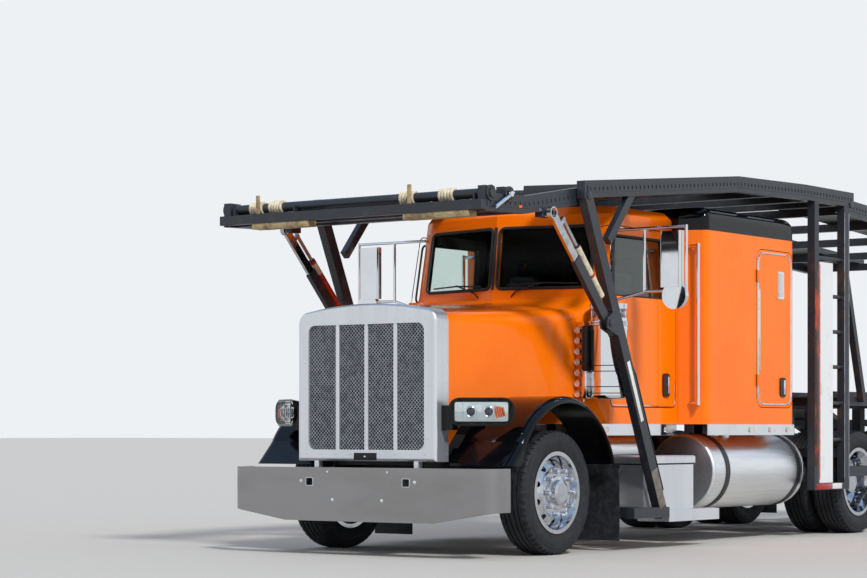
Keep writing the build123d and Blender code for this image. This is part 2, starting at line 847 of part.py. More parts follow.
def fender_profile(inset):
    """The edges of the fender's side view, closed along the bottom, shrunk by the inset."""
    radius = fender_lip_radius - inset
    front_end = Vector(radius, 0).rotate(Axis.Z, fender_front_angle)
    rear_end = Vector(radius, 0).rotate(Axis.Z, fender_rear_angle)
    with BuildLine() as outline:
        Polyline(
            (back(front_end.X), tyre_radius + front_end.Y),
            (back(fender_front_toe[0] + inset), fender_front_toe[1]),
            (back(fender_front_toe[0] + inset), fender_rear_foot - inset / 2),
            (back(rear_end.X), fender_rear_foot - inset / 2),
            (back(rear_end.X), tyre_radius + rear_end.Y),
        )
        ThreePointArc(
            (back(rear_end.X), tyre_radius + rear_end.Y),
            (back(0), tyre_radius + radius),
            (back(front_end.X), tyre_radius + front_end.Y),
        )
    return outline.edges()


with BuildPart() as fender_hollow:
    with BuildSketch(Plane.YZ.offset(fender_inner_x)) as inner:
        make_face(fender_profile(fender_sheet))
    extrude(inner.sketch, amount=fender_outer_x - fender_sheet - fender_inner_x)
    hollow_edges = fender_hollow.edges().group_by(Axis.X)[-1].filter_by_position(
        Axis.Z, fender_rear_foot + 1, 3000)
    fillet(hollow_edges, fender_shoulder - fender_sheet)

with BuildPart() as fenders:
    with BuildSketch(Plane.YZ.offset(fender_inner_x)) as outer:
        make_face(fender_profile(0))
    extrude(outer.sketch, amount=fender_outer_x - fender_inner_x)
    shoulder_edges = fenders.edges().group_by(Axis.X)[-1].filter_by_position(
        Axis.Z, fender_rear_foot + 1, 3000)
    fillet(shoulder_edges, fender_shoulder)
    add(fender_hollow.part, mode=Mode.SUBTRACT)
    with BuildSketch(Plane.YZ.offset(fender_inner_x)) as arch:
        with Locations((back(0), tyre_radius)):
            Circle(fender_lip_radius - fender_lip_depth)
    extrude(arch.sketch, amount=fender_outer_x - fender_inner_x, mode=Mode.SUBTRACT)
    block((fender_inner_x - 1, fender_outer_x + 1), (back(-900), back(900)), (100, fender_front_toe[1]),
          mode=Mode.SUBTRACT)
fenders.part.label = "fenders"

with BuildPart() as fender_pair:
    add(fenders.part)
    loft(hood_loft(-running_gap), mode=Mode.SUBTRACT)
    both_sides()
fender_pair.part.label = "fenders"
export_step(fender_pair.part, "parts/fenders.step")

# Headlamps: an oval pod on a bracket each side of the grille, a clear lens, two lamps inside.
pod_inner = (720, -880)
pod_outer = (1120, -610)
pod_low = 962
pod_height = 206
pod_depth = 110
pod_taper = 12
pod_run = Vector(pod_outer[0] - pod_inner[0], pod_outer[1] - pod_inner[1])
pod_front = Plane(
    origin=((pod_inner[0] + pod_outer[0]) / 2, back((pod_inner[1] + pod_outer[1]) / 2), pod_low + pod_height / 2),
    x_dir=(pod_run.X, pod_run.Y, 0),
    z_dir=(pod_run.Y, -pod_run.X, 0),
)
lens_rim = 14
lens_bulge = 16
lens_recess = 34
lamp_radius = 33
lamp_offset = 74


def pod_outline(inset):
    """The lamp's oval: square towards the grille, rounder at the wheel, as a sketch."""
    with BuildSketch(pod_front) as oval:
        RectangleRounded(pod_run.length - 2 * inset, pod_height - 2 * inset, 84 - inset)
    return oval.sketch


with BuildPart() as headlamp_pods:
    extrude(pod_outline(0), amount=-pod_depth, taper=pod_taper)
    block((surround_half_width + running_gap, pod_inner[0] + 26),
          (back(-860), back(-790)), (pod_low - 30, pod_low + 150))
    extrude(pod_outline(lens_rim), amount=-lens_recess, mode=Mode.SUBTRACT)
    with BuildSketch(pod_front.offset(-lens_recess - 1)) as bowls:
        with Locations((lamp_offset - 150, 0), (lamp_offset - 20, 0)):
            Circle(lamp_radius)
    extrude(bowls.sketch, amount=lens_recess - 7)
    both_sides()
headlamp_pods.part.label = "headlamp_pods"
export_step(headlamp_pods.part, "parts/headlamp_pods.step")

with BuildPart() as headlamp_lenses:
    extrude(pod_outline(lens_rim + running_gap), amount=lens_bulge)
    lens_axis = Axis(pod_front.origin, pod_front.z_dir)
    fillet(headlamp_lenses.faces().filter_by(pod_front).sort_by(lens_axis)[-1].edges(), 12)
    extrude(pod_outline(lens_rim + running_gap), amount=-5)
    both_sides()
headlamp_lenses.part.label = "headlamp_lenses"
export_step(headlamp_lenses.part, "parts/headlamp_lenses.step")

# Cab: a welded shell with a V windshield. The form is made whole, and the doors, the roof
# and the glass are cut from the same form, so that each panel is as thick as the wall.
cowl_front = hood_rear + panel_gap
door_plane_y = 925
cowl_shoulder_drop = 46
greenhouse_low = 1900
greenhouse_base = ((0, 712), (830, 925), (968, 1010), (968, cab_rear))
greenhouse_head = ((0, 800), (800, 1020), (918, 1105), (918, cab_rear))
pillar_radius = 70
roof_edge_z = 2640
roof_round = 45
glass_inset = 20
glass_thickness = 6


def cowl_section(behind, half, crown, drop, corner, inset):
    """One arch-shaped section of the cowl as a face."""
    side = half - inset
    shoulder = crown - drop - inset
    round_off = corner - inset
    bend = round_off * (1 - 0.5 ** 0.5)
    low = cab_floor + inset
    with BuildSketch(Plane.XZ.offset(-back(behind))) as section:
        with BuildLine():
            Polyline((-side, shoulder - round_off), (-side, low), (side, low), (side, shoulder - round_off))
            ThreePointArc((side, shoulder - round_off), (side - bend, shoulder - bend), (side - round_off, shoulder))
            ThreePointArc((side - round_off, shoulder), (0, crown - inset), (round_off - side, shoulder))
            ThreePointArc((round_off - side, shoulder), (bend - side, shoulder - bend), (-side, shoulder - round_off))
        make_face()
    return section.sketch.face()


def greenhouse_face(corners, height, inset):
    """The greenhouse's plan at one height, shrunk by the inset."""
    right = [(x, back(y)) for x, y in corners]
    left = [(-x, back(y)) for x, y in reversed(corners[1:])]
    with BuildSketch(Plane.XY.offset(height)) as plan:
        with BuildLine():
            Polyline(*right, *left, close=True)
        make_face()
        pillars = plan.vertices().filter_by_position(Axis.Y, back(1000), back(1120))
        fillet(pillars, pillar_radius)
        if inset:
            offset(amount=-inset, kind=Kind.INTERSECTION, mode=Mode.REPLACE)
    return plan.sketch.face()


def cab_form(inset, mode=Mode.ADD):
    """Adds the cab's whole outer form, or that form shrunk by the inset."""
    loft([
        cowl_section(cowl_front + inset, hood_rear_half_width, hood_rear_top, hood_shoulder_drop,
                     hood_corner, inset),
        cowl_section(door_plane_y, cab_half_width, windshield_base, cowl_shoulder_drop, 130, inset),
    ], mode=mode)
    with BuildSketch(Plane.XZ.offset(-back(door_plane_y))) as body:
        with Locations((0, (cab_floor + windshield_base - cowl_shoulder_drop) / 2)):
            Rectangle(2 * (cab_half_width - inset),
                      windshield_base - cowl_shoulder_drop - cab_floor - 2 * inset)
    extrude(body.sketch, amount=-(cab_rear - inset - door_plane_y), mode=mode)
    loft([
        greenhouse_face(greenhouse_base, greenhouse_low, inset),
        greenhouse_face(greenhouse_head, roof_edge_z, inset),
    ], mode=mode)
    loft([
        greenhouse_face(greenhouse_head, roof_edge_z, inset),
        greenhouse_face(greenhouse_head, cab_roof_top - inset, inset + roof_round),
    ], mode=mode)


with BuildPart() as cab_walls:
    cab_form(0)
    cab_form(cab_wall, mode=Mode.SUBTRACT)

with BuildPart() as glass_layer:
    cab_form(glass_inset)
    cab_form(glass_inset + glass_thickness, mode=Mode.SUBTRACT)

pass_half_width = 560
pass_heights = (1060, 2350)
pane_inner_x = 24
pane_base = (805, 2050)
pane_head = (778, 2548)
pane_radius = 40
window = ((1000, 1985), (1062, 2470), (1830, 2470), (1830, 1985))
window_radius = 45
door_outline = ((door_front, 1110), (door_front, 1990), (1012, 2545), (door_rear, 2545), (door_rear, 1110))
door_radius = 55


def side_prism(corners, radius, shrink, x_low, x_high, mode):
    """A prism across one side of the cab from a side-view outline with round corners."""
    with BuildSketch(Plane.YZ.offset(x_low)) as outline:
        with BuildLine():
            Polyline(*((back(y), z) for y, z in corners), close=True)
        make_face()
        fillet(outline.vertices(), radius)
        if shrink:
            offset(amount=-shrink, mode=Mode.REPLACE)
    extrude(outline.sketch, amount=x_high - x_low, mode=mode)


def pane_prisms(mode):
    """The two windshield openings, straight through the front of the cab."""
    with BuildSketch(Plane.XZ.offset(-back(1120))) as panes:
        for side in (-1, 1):
            with BuildLine():
                Polyline(
                    (side * pane_inner_x, pane_base[1]),
                    (side * pane_base[0], pane_base[1]),
                    (side * pane_head[0], pane_head[1]),
                    (side * pane_inner_x, pane_head[1]),
                    close=True,
                )
            make_face()
        fillet(panes.vertices(), pane_radius)
    extrude(panes.sketch, amount=520, mode=mode)


with BuildPart() as cab:
    add(cab_walls.part)
    pane_prisms(Mode.SUBTRACT)
    side_prism(door_outline, door_radius, 0, 820, 1100, Mode.SUBTRACT)
    side_prism(door_outline, door_radius, 0, -1100, -820, Mode.SUBTRACT)
    block((-pass_half_width, pass_half_width), (back(cab_rear - 2 * cab_wall), back(cab_rear + 1)), pass_heights,
          mode=Mode.SUBTRACT)
    split(bisect_by=Plane.XY.offset(windshield_top), keep=Keep.BOTTOM)
cab.part.label = "cab"
export_step(cab.part, "parts/cab.step")

with BuildPart() as cab_roof:
    add(cab_walls.part)
    split(bisect_by=Plane.XY.offset(windshield_top), keep=Keep.TOP)
cab_roof.part.label = "cab_roof"
export_step(cab_roof.part, "parts/cab_roof.step")

with BuildPart() as windshield:
    add(glass_layer.part)
    pane_prisms(Mode.INTERSECT)
windshield.part.label = "windshield"
export_step(windshield.part, "parts/windshield.step")

# Doors with their hinges and windows. Columns: name, X range on that side of the cab.
door_sides = (("left", 820, 1100), ("right", -1100, -820))
door_hinge_x = 985
door_hinge_heights = (1250, 1800)
hinge_radius = 9
hinge_half = 50


def hinge_barrels(side, hinge_x, front, face_x, heights):
    """The hinge barrels of a door, each on a leaf that lies on the door's face."""
    for height in heights:
        rod((side * hinge_x, back(front), height - hinge_half), (side * hinge_x, back(front), height + hinge_half),
            hinge_radius)
        block(sorted((side * (face_x - 1), side * (hinge_x + 2))), (back(front + 2), back(front + 50)),
              (height - hinge_half + 5, height + hinge_half - 5))


for name, x_low, x_high in door_sides:
    with BuildPart() as door:
        add(cab_walls.part)
        side_prism(door_outline, door_radius, panel_gap, x_low, x_high, Mode.INTERSECT)
        side_prism(window, window_radius, 0, x_low, x_high, Mode.SUBTRACT)
        hinge_barrels(1 if x_low > 0 else -1, door_hinge_x, door_front, cab_half_width, door_hinge_heights)
    door.part.label = f"door_{name}"
    export_step(door.part, f"parts/door_{name}.step")
    with BuildPart() as door_glass:
        add(glass_layer.part)
        side_prism(window, window_radius, 0, x_low, x_high, Mode.INTERSECT)
    door_glass.part.label = f"door_glass_{name}"
    export_step(door_glass.part, f"parts/door_glass_{name}.step")

# Mirrors: a tube loop off the door with a tall head and a round convex glass under it.
mirror_y = 1050
mirror_tube = 12
mirror_outer_x = 1590
mirror_inner_x = 1215
mirror_top_z = 2500
mirror_low_z = 2010
mirror_head_x = (1365, 1560)
mirror_head_z = (2035, 2470)
mirror_head_depth = 62
convex_radius = 105
convex_x = 1490
door_face_low = 945
door_face_high = 895
for name, side in (("left", 1), ("right", -1)):
    with BuildPart() as mirror_arm:
        rod((side * door_face_high, back(mirror_y), mirror_top_z), (side * mirror_outer_x, back(mirror_y), mirror_top_z),
            mirror_tube)
        rod((side * mirror_outer_x, back(mirror_y), mirror_top_z + mirror_tube),
            (side * mirror_outer_x, back(mirror_y), mirror_low_z - mirror_tube), mirror_tube)
        rod((side * mirror_inner_x, back(mirror_y), mirror_top_z), (side * mirror_inner_x, back(mirror_y), mirror_low_z),
            mirror_tube)
        rod((side * mirror_inner_x, back(mirror_y), mirror_low_z), (side * mirror_outer_x, back(mirror_y), mirror_low_z),
            mirror_tube)
        rod((side * door_face_low, back(mirror_y - 60), mirror_low_z - 75),
            (side * mirror_inner_x, back(mirror_y), mirror_low_z), mirror_tube)
        block(sorted((side * mirror_head_x[0], side * mirror_head_x[1])),
              (back(mirror_y - mirror_head_depth / 2), back(mirror_y + mirror_head_depth / 2)), mirror_head_z)
        fillet(mirror_arm.edges().filter_by(Axis.Z).filter_by_position(
            Axis.X, *sorted((side * (mirror_head_x[0] - 1), side * (mirror_head_x[1] + 1)))), 24)
        rod((side * convex_x, back(mirror_y + 26), mirror_low_z - 40),
            (side * convex_x, back(mirror_y - 20), mirror_low_z - 40), convex_radius)
        add(cab_walls.part, mode=Mode.SUBTRACT)
    mirror_arm.part.label = f"mirror_{name}"
    export_step(mirror_arm.part, f"parts/mirror_{name}.step")

# Inside the cab: the dash, the steering wheel on its column, and two seats.
dash_front = 860
dash_rear = 1130
dash_half_width = 800
dash_top = 1960
dash_bottom = 1560
steering_x = 450
steering_centre = (1330, 1890)
steering_radius = 225
steering_rim = 16
seat_x = 450
seat_width = 520
seat_front = 1330
seat_rear = 1830
seat_z = (1330, 1560)
seat_back_top = 2240
with BuildPart() as cab_room:
    cab_form(cab_wall + running_gap)

with BuildPart() as dashboard:
    with BuildSketch(Plane.YZ.offset(-dash_half_width)) as profile:
        with BuildLine():
            Polyline(
                (back(dash_front), dash_bottom),
                (back(dash_front + 40), dash_top),
                (back(dash_rear - 90), dash_top),
                (back(dash_rear), dash_top - 90),
                (back(dash_rear - 70), dash_bottom),
                close=True,
            )
        make_face()
        fillet(profile.vertices().sort_by(Axis.X)[-2:], 30)
    extrude(profile.sketch, amount=2 * dash_half_width)
    block((-150, 150), (back(dash_front + 20), back(dash_rear - 80)), (cab_floor + cab_wall, dash_bottom + 1))
    add(cab_room.part, mode=Mode.INTERSECT)
dashboard.part.label = "dash_panel"

column_plane = Plane(origin=(steering_x, back(steering_centre[0]), steering_centre[1]), x_dir=(1, 0, 0),
                     z_dir=(0, 0.42, 0.91))
with BuildPart() as steering_wheel:
    with BuildSketch(Plane(origin=column_plane.origin, x_dir=(1, 0, 0), z_dir=column_plane.x_dir.cross(
            column_plane.z_dir))) as ring:
        with Locations((steering_radius, 0)):
            Circle(steering_rim)
    revolve(ring.sketch, axis=Axis(column_plane.origin, column_plane.z_dir))
    for angle in (30, 150, 270):
        spoke = column_plane.from_local_coords(Vector(steering_radius, 0).rotate(Axis.Z, angle))
        hub_point = column_plane.from_local_coords(Vector(0, 0, -30))
        bar(tuple(hub_point), tuple(spoke), 34, 12, across=(0, 0, 1))
    rod(tuple(column_plane.from_local_coords(Vector(0, 0, -10))),
        tuple(column_plane.from_local_coords(Vector(0, 0, -60))), 55)
    rod(tuple(column_plane.from_local_coords(Vector(0, 0, -50))),
        tuple(column_plane.from_local_coords(Vector(0, 0, -960))), 28)
steering_wheel.part.label = "steering_wheel"

with BuildPart() as dash_set:
    add(steering_wheel.part)
    add(dashboard.part)
    add(cab_room.part, mode=Mode.INTERSECT)
dash_set.part.label = "dashboard"
export_step(dash_set.part, "parts/dashboard.step")

with BuildPart() as seats:
    block((seat_x - seat_width / 2, seat_x + seat_width / 2), (back(seat_front), back(seat_rear)), seat_z)
    fillet(seats.edges().filter_by(Axis.X), 45)
    block((seat_x - 190, seat_x + 190), (back(seat_front + 60), back(seat_rear - 60)),
          (cab_floor + cab_wall, seat_z[0] + 1))
    bar((seat_x, back(seat_rear - 60), seat_z[0] + 60), (seat_x, back(seat_rear + 30), seat_back_top), seat_width, 120)
    both_sides()
seats.part.label = "cab_seats"

# Sleeper: a wider shell behind the cab whose front corners flare out, with a dark roof.
sleeper_front = cab_rear
flare_rear = 2065
flare_front_x = 985
sleeper_corner = 60
roof_round_radius = 95
hatch_outline = ((2900, 1120), (2900, 2460), (3550, 2460), (3550, 1120))
hatch_radius = 95
sleeper_wall = 50


def sleeper_plan(inset):
    """The sleeper's outline in plan, shrunk by the inset, as a sketch at floor height."""
    with BuildSketch(Plane.XY.offset(cab_floor + inset)) as plan:
        with BuildLine():
            Polyline(
                (flare_front_x, back(sleeper_front)),
                (sleeper_half_width, back(flare_rear)),
                (sleeper_half_width, back(sleeper_rear)),
                (-sleeper_half_width, back(sleeper_rear)),
                (-sleeper_half_width, back(flare_rear)),
                (-flare_front_x, back(sleeper_front)),
                close=True,
            )
        make_face()
        fillet(plan.vertices().group_by(Axis.Y)[-1], sleeper_corner)
        fillet(plan.vertices().group_by(Axis.Y)[1], sleeper_corner)
        if inset:
            offset(amount=-inset, mode=Mode.REPLACE)
    return plan.sketch


with BuildPart() as sleeper_hollow:
    extrude(sleeper_plan(sleeper_wall), amount=sleeper_roof_top - cab_floor - 2 * sleeper_wall)
    fillet(sleeper_hollow.edges().group_by(Axis.Z)[-1], roof_round_radius - sleeper_wall)

with BuildPart() as sleeper_walls:
    extrude(sleeper_plan(0), amount=sleeper_roof_top - cab_floor)
    fillet(sleeper_walls.edges().group_by(Axis.Z)[-1], roof_round_radius)
    add(sleeper_hollow.part, mode=Mode.SUBTRACT)

with BuildPart() as sleeper:
    add(sleeper_walls.part)
    side_prism(hatch_outline, hatch_radius, 0, 1100, 1300, Mode.SUBTRACT)
    side_prism(hatch_outline, hatch_radius, 0, -1300, -1100, Mode.SUBTRACT)
    block((-pass_half_width, pass_half_width), (back(sleeper_front - 1), back(sleeper_front + 2 * sleeper_wall)),
          pass_heights, mode=Mode.SUBTRACT)
    split(bisect_by=Plane.XY.offset(sleeper_roof_line), keep=Keep.BOTTOM)
sleeper.part.label = "sleeper"
export_step(sleeper.part, "parts/sleeper.step")

with BuildPart() as sleeper_roof:
    add(sleeper_walls.part)
    split(bisect_by=Plane.XY.offset(sleeper_roof_line), keep=Keep.TOP)
sleeper_roof.part.label = "sleeper_roof"
export_step(sleeper_roof.part, "parts/sleeper_roof.step")

hatch_hinge_x = 1210
hatch_hinge_heights = (1350, 2230)
for name, x_low, x_high in (("left", 1100, 1300), ("right", -1300, -1100)):
    with BuildPart() as hatch:
        add(sleeper_walls.part)
        side_prism(hatch_outline, hatch_radius, panel_gap, x_low, x_high, Mode.INTERSECT)
        hinge_barrels(1 if x_low > 0 else -1, hatch_hinge_x, hatch_outline[0][0], sleeper_half_width,
                      hatch_hinge_heights)
    hatch.part.label = f"sleeper_hatch_{name}"
    export_step(hatch.part, f"parts/sleeper_hatch_{name}.step")

# The bunk across the sleeper, which shows when a hatch stands open.
bunk_z = (1240, 1420)
with BuildPart() as bunk:
    block((-pass_half_width - 520, pass_half_width + 520), (back(2700), back(sleeper_rear - sleeper_wall - 5)), bunk_z)
    fillet(bunk.edges(), 30)
    block((-900, 900), (back(2760), back(sleeper_rear - sleeper_wall - 60)),
          (cab_floor + sleeper_wall, bunk_z[0] + 1))
    add(seats.part)
bunk.part.label = "seats"
export_step(bunk.part, "parts/seats.step")

# Bright skirts under the cab and the sleeper, with their oval marker lamps.
skirt_sheet = 8
skirt_z = (890, 978)
cab_skirt = (740, 1960)
sleeper_skirt = (2080, 3580)
skirt_lamp = (112, 46)
skirt_lamp_depth = 10
cab_lamp_places = (850, 1830)
sleeper_lamp_places = (2830, 3180, 3490)
with BuildPart() as skirts:
    block((cab_half_width - skirt_sheet - 1, cab_half_width - 1), (back(cab_skirt[0]), back(cab_skirt[1])),
          (skirt_z[0], cab_floor))
    block((sleeper_half_width - skirt_sheet - 1, sleeper_half_width - 1),
          (back(sleeper_skirt[0]), back(sleeper_skirt[1])), (skirt_z[0], cab_floor))
    both_sides()
skirts.part.label = "skirts"

with BuildPart() as skirt_lamps:
    for face_x, places in ((cab_half_width - 1, cab_lamp_places), (sleeper_half_width - 1, sleeper_lamp_places)):
        with BuildSketch(Plane.YZ.offset(face_x)) as ovals:
            for place in places:
                with Locations((back(place), (skirt_z[0] + cab_floor) / 2)):
                    SlotOverall(*skirt_lamp)
        extrude(ovals.sketch, amount=skirt_lamp_depth)
    both_sides()
skirt_lamps.part.label = "skirt_lamps"

# Air cleaners: tall canisters on the cowl, with a strip of bullet lamps ahead of each.
cleaner_x = 1068
cleaner_y = 762
cleaner_radius = 146
cleaner_z = (1170, 1905)
with BuildPart() as air_cleaners:
    rod((cleaner_x, back(cleaner_y), cleaner_z[0]), (cleaner_x, back(cleaner_y), cleaner_z[1] - 110), cleaner_radius)
    rod((cleaner_x, back(cleaner_y), cleaner_z[1] - 111), (cleaner_x, back(cleaner_y), cleaner_z[1] - 30),
        cleaner_radius - 28)
    rod((cleaner_x, back(cleaner_y), cleaner_z[1] - 40), (cleaner_x, back(cleaner_y), cleaner_z[1]),
        cleaner_radius + 3)
    fillet(air_cleaners.edges().group_by(Axis.Z)[0], 30)
    for height in (1330, 1700):
        rod((cleaner_x, back(cleaner_y), height), (cleaner_x, back(cleaner_y), height + 34), cleaner_radius + 4)
    cab_form(-running_gap, mode=Mode.SUBTRACT)
    both_sides()
air_cleaners.part.label = "air_cleaners"
export_step(air_cleaners.part, "parts/air_cleaners.step")

strip_x = (856, 912)
lamp_pitch = 82
lowest_lamp = 1210
bullet_radius = 24
with BuildPart() as cowl_lamps:
    block(strip_x, (back(cowl_front + 2), back(cowl_front + 22)), (lowest_lamp - 60, lowest_lamp + 6 * lamp_pitch + 60))
    for step in range(7):
        rod(((strip_x[0] + strip_x[1]) / 2, back(cowl_front - 34), lowest_lamp + step * lamp_pitch),
            ((strip_x[0] + strip_x[1]) / 2, back(cowl_front + 3), lowest_lamp + step * lamp_pitch), bullet_radius)
    both_sides()
    add(cab_walls.part, mode=Mode.SUBTRACT)
    add(skirt_lamps.part)
cowl_lamps.part.label = "marker_lamps"
export_step(cowl_lamps.part, "parts/marker_lamps.step")

# Grab rails on the sleeper's flares.
grab_x = 1165
grab_y = 1975
grab_z = (1150, 2430)
grab_radius = 16
flap_z = (80, 640)
flap_thickness = 10
with BuildPart() as grab_rails:
    rod((grab_x, back(grab_y), grab_z[0] - grab_radius), (grab_x, back(grab_y), grab_z[1] + grab_radius), grab_radius)
    for height in grab_z:
        rod((grab_x, back(grab_y), height), (grab_x - 34, back(grab_y + 68), height), grab_radius - 2)
    both_sides()
    add(sleeper_walls.part, mode=Mode.SUBTRACT)
    add(skirts.part)
grab_rails.part.label = "bright_trim"
export_step(grab_rails.part, "parts/bright_trim.step")

# Mudflaps behind the front wheels and behind the last axle.
flap_inner_x = 800
rear_flap_y = drive_axles[1] + 620
with BuildPart() as mud_flaps:
    block((flap_inner_x, fender_outer_x - 20), (back(732), back(732 + flap_thickness)), flap_z)
    block((flap_inner_x - 140, fender_outer_x), (back(rear_flap_y), back(rear_flap_y + flap_thickness)), (90, 760))
    bar((rail_x + running_gap, back(rear_flap_y + 35), 740), (fender_outer_x, back(rear_flap_y + 35), 740), 50, 50,
        across=(0, 1, 0))
    bar((rail_x + running_gap, back(732 + 35), 640), (fender_outer_x - 20, back(732 + 35), 640), 50, 50,
        across=(0, 1, 0))
    both_sides()
mud_flaps.part.label = "mud_flaps"
export_step(mud_flaps.part, "parts/mud_flaps.step")

# Front legs of the rack: raked box columns from foot beams up to the deck's pivot, each
# with a brace to the fixed deck and a fork for its lifting strut.
rack_x = (rack_inner_x + rack_outer_x) / 2
rack_width = rack_outer_x - rack_inner_x
leg_depth = 100
fork_plate = 12
fork_pin_radius = 20
strut_x = rack_x
strut_width = rack_width - 2 * fork_plate - 6
pivot_pin_radius = 25
with BuildPart() as rack_legs:
    bar((rack_x, back(leg_foot[0]), leg_foot[1] + 10), (rack_x, back(leg_top[0]), leg_top[1]), rack_width, leg_depth)
    block((rack_inner_x, rack_outer_x), (back(770), back(leg_foot[0] + 70)), rack_beam_z)
    block((rail_x - 80, rack_inner_x + 1), (back(960), back(1040)), rack_beam_z)
    block((rail_x - 80, rail_x), (back(940), back(1060)), (rack_beam_z[1] - 1, rail_bottom - running_gap))
    bar((rack_x, back(430), 2360), (rack_x, back(780), 2760), rack_width - 20, 70)
    with BuildSketch(Plane.YZ.offset(rack_inner_x)) as fork:
        with BuildLine():
            Polyline(
                (back(strut_foot[0] - 45), strut_foot[1] - 40),
                (back(strut_foot[0] - 45), strut_foot[1] + 40),
                (back(strut_foot[0] + 80), strut_foot[1] + 110),
                (back(strut_foot[0] + 150), strut_foot[1] - 110),
                close=True,
            )
        make_face()
    extrude(fork.sketch, amount=rack_width)
    block((rack_inner_x + fork_plate, rack_outer_x - fork_plate),
          (back(strut_foot[0] - 50), back(strut_foot[0] + 44)), (strut_foot[1] - 50, strut_foot[1] + 46),
          mode=Mode.SUBTRACT)
    block((rack_inner_x + fork_plate, rack_outer_x - fork_plate),
          (back(strut_foot[0] - 50), back(strut_foot[0] + 20)), (strut_foot[1] + 45, strut_foot[1] + 120),
          mode=Mode.SUBTRACT)
    rod((rack_inner_x, back(strut_foot[0]), strut_foot[1]), (rack_outer_x, back(strut_foot[0]), strut_foot[1]),
        fork_pin_radius)
    rod((deck_rail_inner_x, back(leg_top[0]), leg_top[1]), (rack_outer_x, back(leg_top[0]), leg_top[1]),
        pivot_pin_radius)
    both_sides()
rack_legs.part.label = "rack_legs"
export_step(rack_legs.part, "parts/rack_legs.step")

# Fixed deck over the cab: two kinked side rails, cross members and wheel runways.
cab_deck_line = ((60, 2722), (2420, 2955), (3610, 2985), (4540, 2985))
cab_runway_ends = (400, 4400)
rear_pivot = (4480, 2942)
deck_rail_depth = 130
runway_inner_x = 520
runway_outer_x = 1120
runway_plate = 14
runway_lip = 45
cross_tube = 70


def deck_height(line, place):
    """The height of a deck's rail line at a place behind the front axle."""
    for (near, low), (far, high) in zip(line, line[1:]):
        if near <= place <= far:
            return low + (high - low) * (place - near) / (far - near)


def deck_side(line, x, width):
    """A side rail that follows the deck's line, as one mitred run."""
    half = deck_rail_depth / 2
    with BuildSketch(Plane.YZ.offset(x)) as side_view:
        with BuildLine():
            Polyline(
                *((back(place), height + half) for place, height in line),
                *((back(place), height - half) for place, height in reversed(line)),
                close=True,
            )
        make_face()
    extrude(side_view.sketch, amount=width)


def deck_runway(line, tread_offset):
    """A wheel runway: a plate with turned-up lips, following the deck's line."""
    with BuildSketch(Plane.YZ.offset(runway_inner_x)) as side_view:
        with BuildLine():
            Polyline(
                *((back(place), height + tread_offset) for place, height in line),
                *((back(place), height + tread_offset - runway_plate) for place, height in reversed(line)),
                close=True,
            )
        make_face()
    extrude(side_view.sketch, amount=runway_outer_x - runway_inner_x)
    for lip_x in (runway_inner_x, runway_outer_x - runway_plate):
        with BuildSketch(Plane.YZ.offset(lip_x)) as lip:
            with BuildLine():
                Polyline(
                    *((back(place), height + tread_offset + runway_lip) for place, height in line),
                    *((back(place), height + tread_offset - runway_plate) for place, height in reversed(line)),
                    close=True,
                )
            make_face()
        extrude(lip.sketch, amount=runway_plate)


cab_deck_crosses = (420, 1150, 1900, 2420, 3100, 3800, 4330)
cab_runway_line = (
    (cab_runway_ends[0], deck_height(cab_deck_line, cab_runway_ends[0])),
    *cab_deck_line[1:3],
    (cab_runway_ends[1], cab_deck_line[3][1]),
)
with BuildPart() as cab_deck:
    deck_side(cab_deck_line, rack_inner_x, rack_width)
    deck_runway(cab_runway_line, 20)
    for place in cab_deck_crosses:
        height = deck_height(cab_deck_line, place) + 20 - runway_plate - cross_tube / 2
        block((-1, rack_inner_x + 1), (back(place - cross_tube / 2), back(place + cross_tube / 2)),
              (height - cross_tube / 2, height + cross_tube / 2 + 1))
    rod((deck_rail_inner_x, back(rear_pivot[0]), rear_pivot[1]), (rack_outer_x, back(rear_pivot[0]), rear_pivot[1]),
        pivot_pin_radius)
    both_sides()
    add(rack_legs.part, mode=Mode.SUBTRACT)
cab_deck.part.label = "cab_deck"
export_step(cab_deck.part, "parts/cab_deck.step")

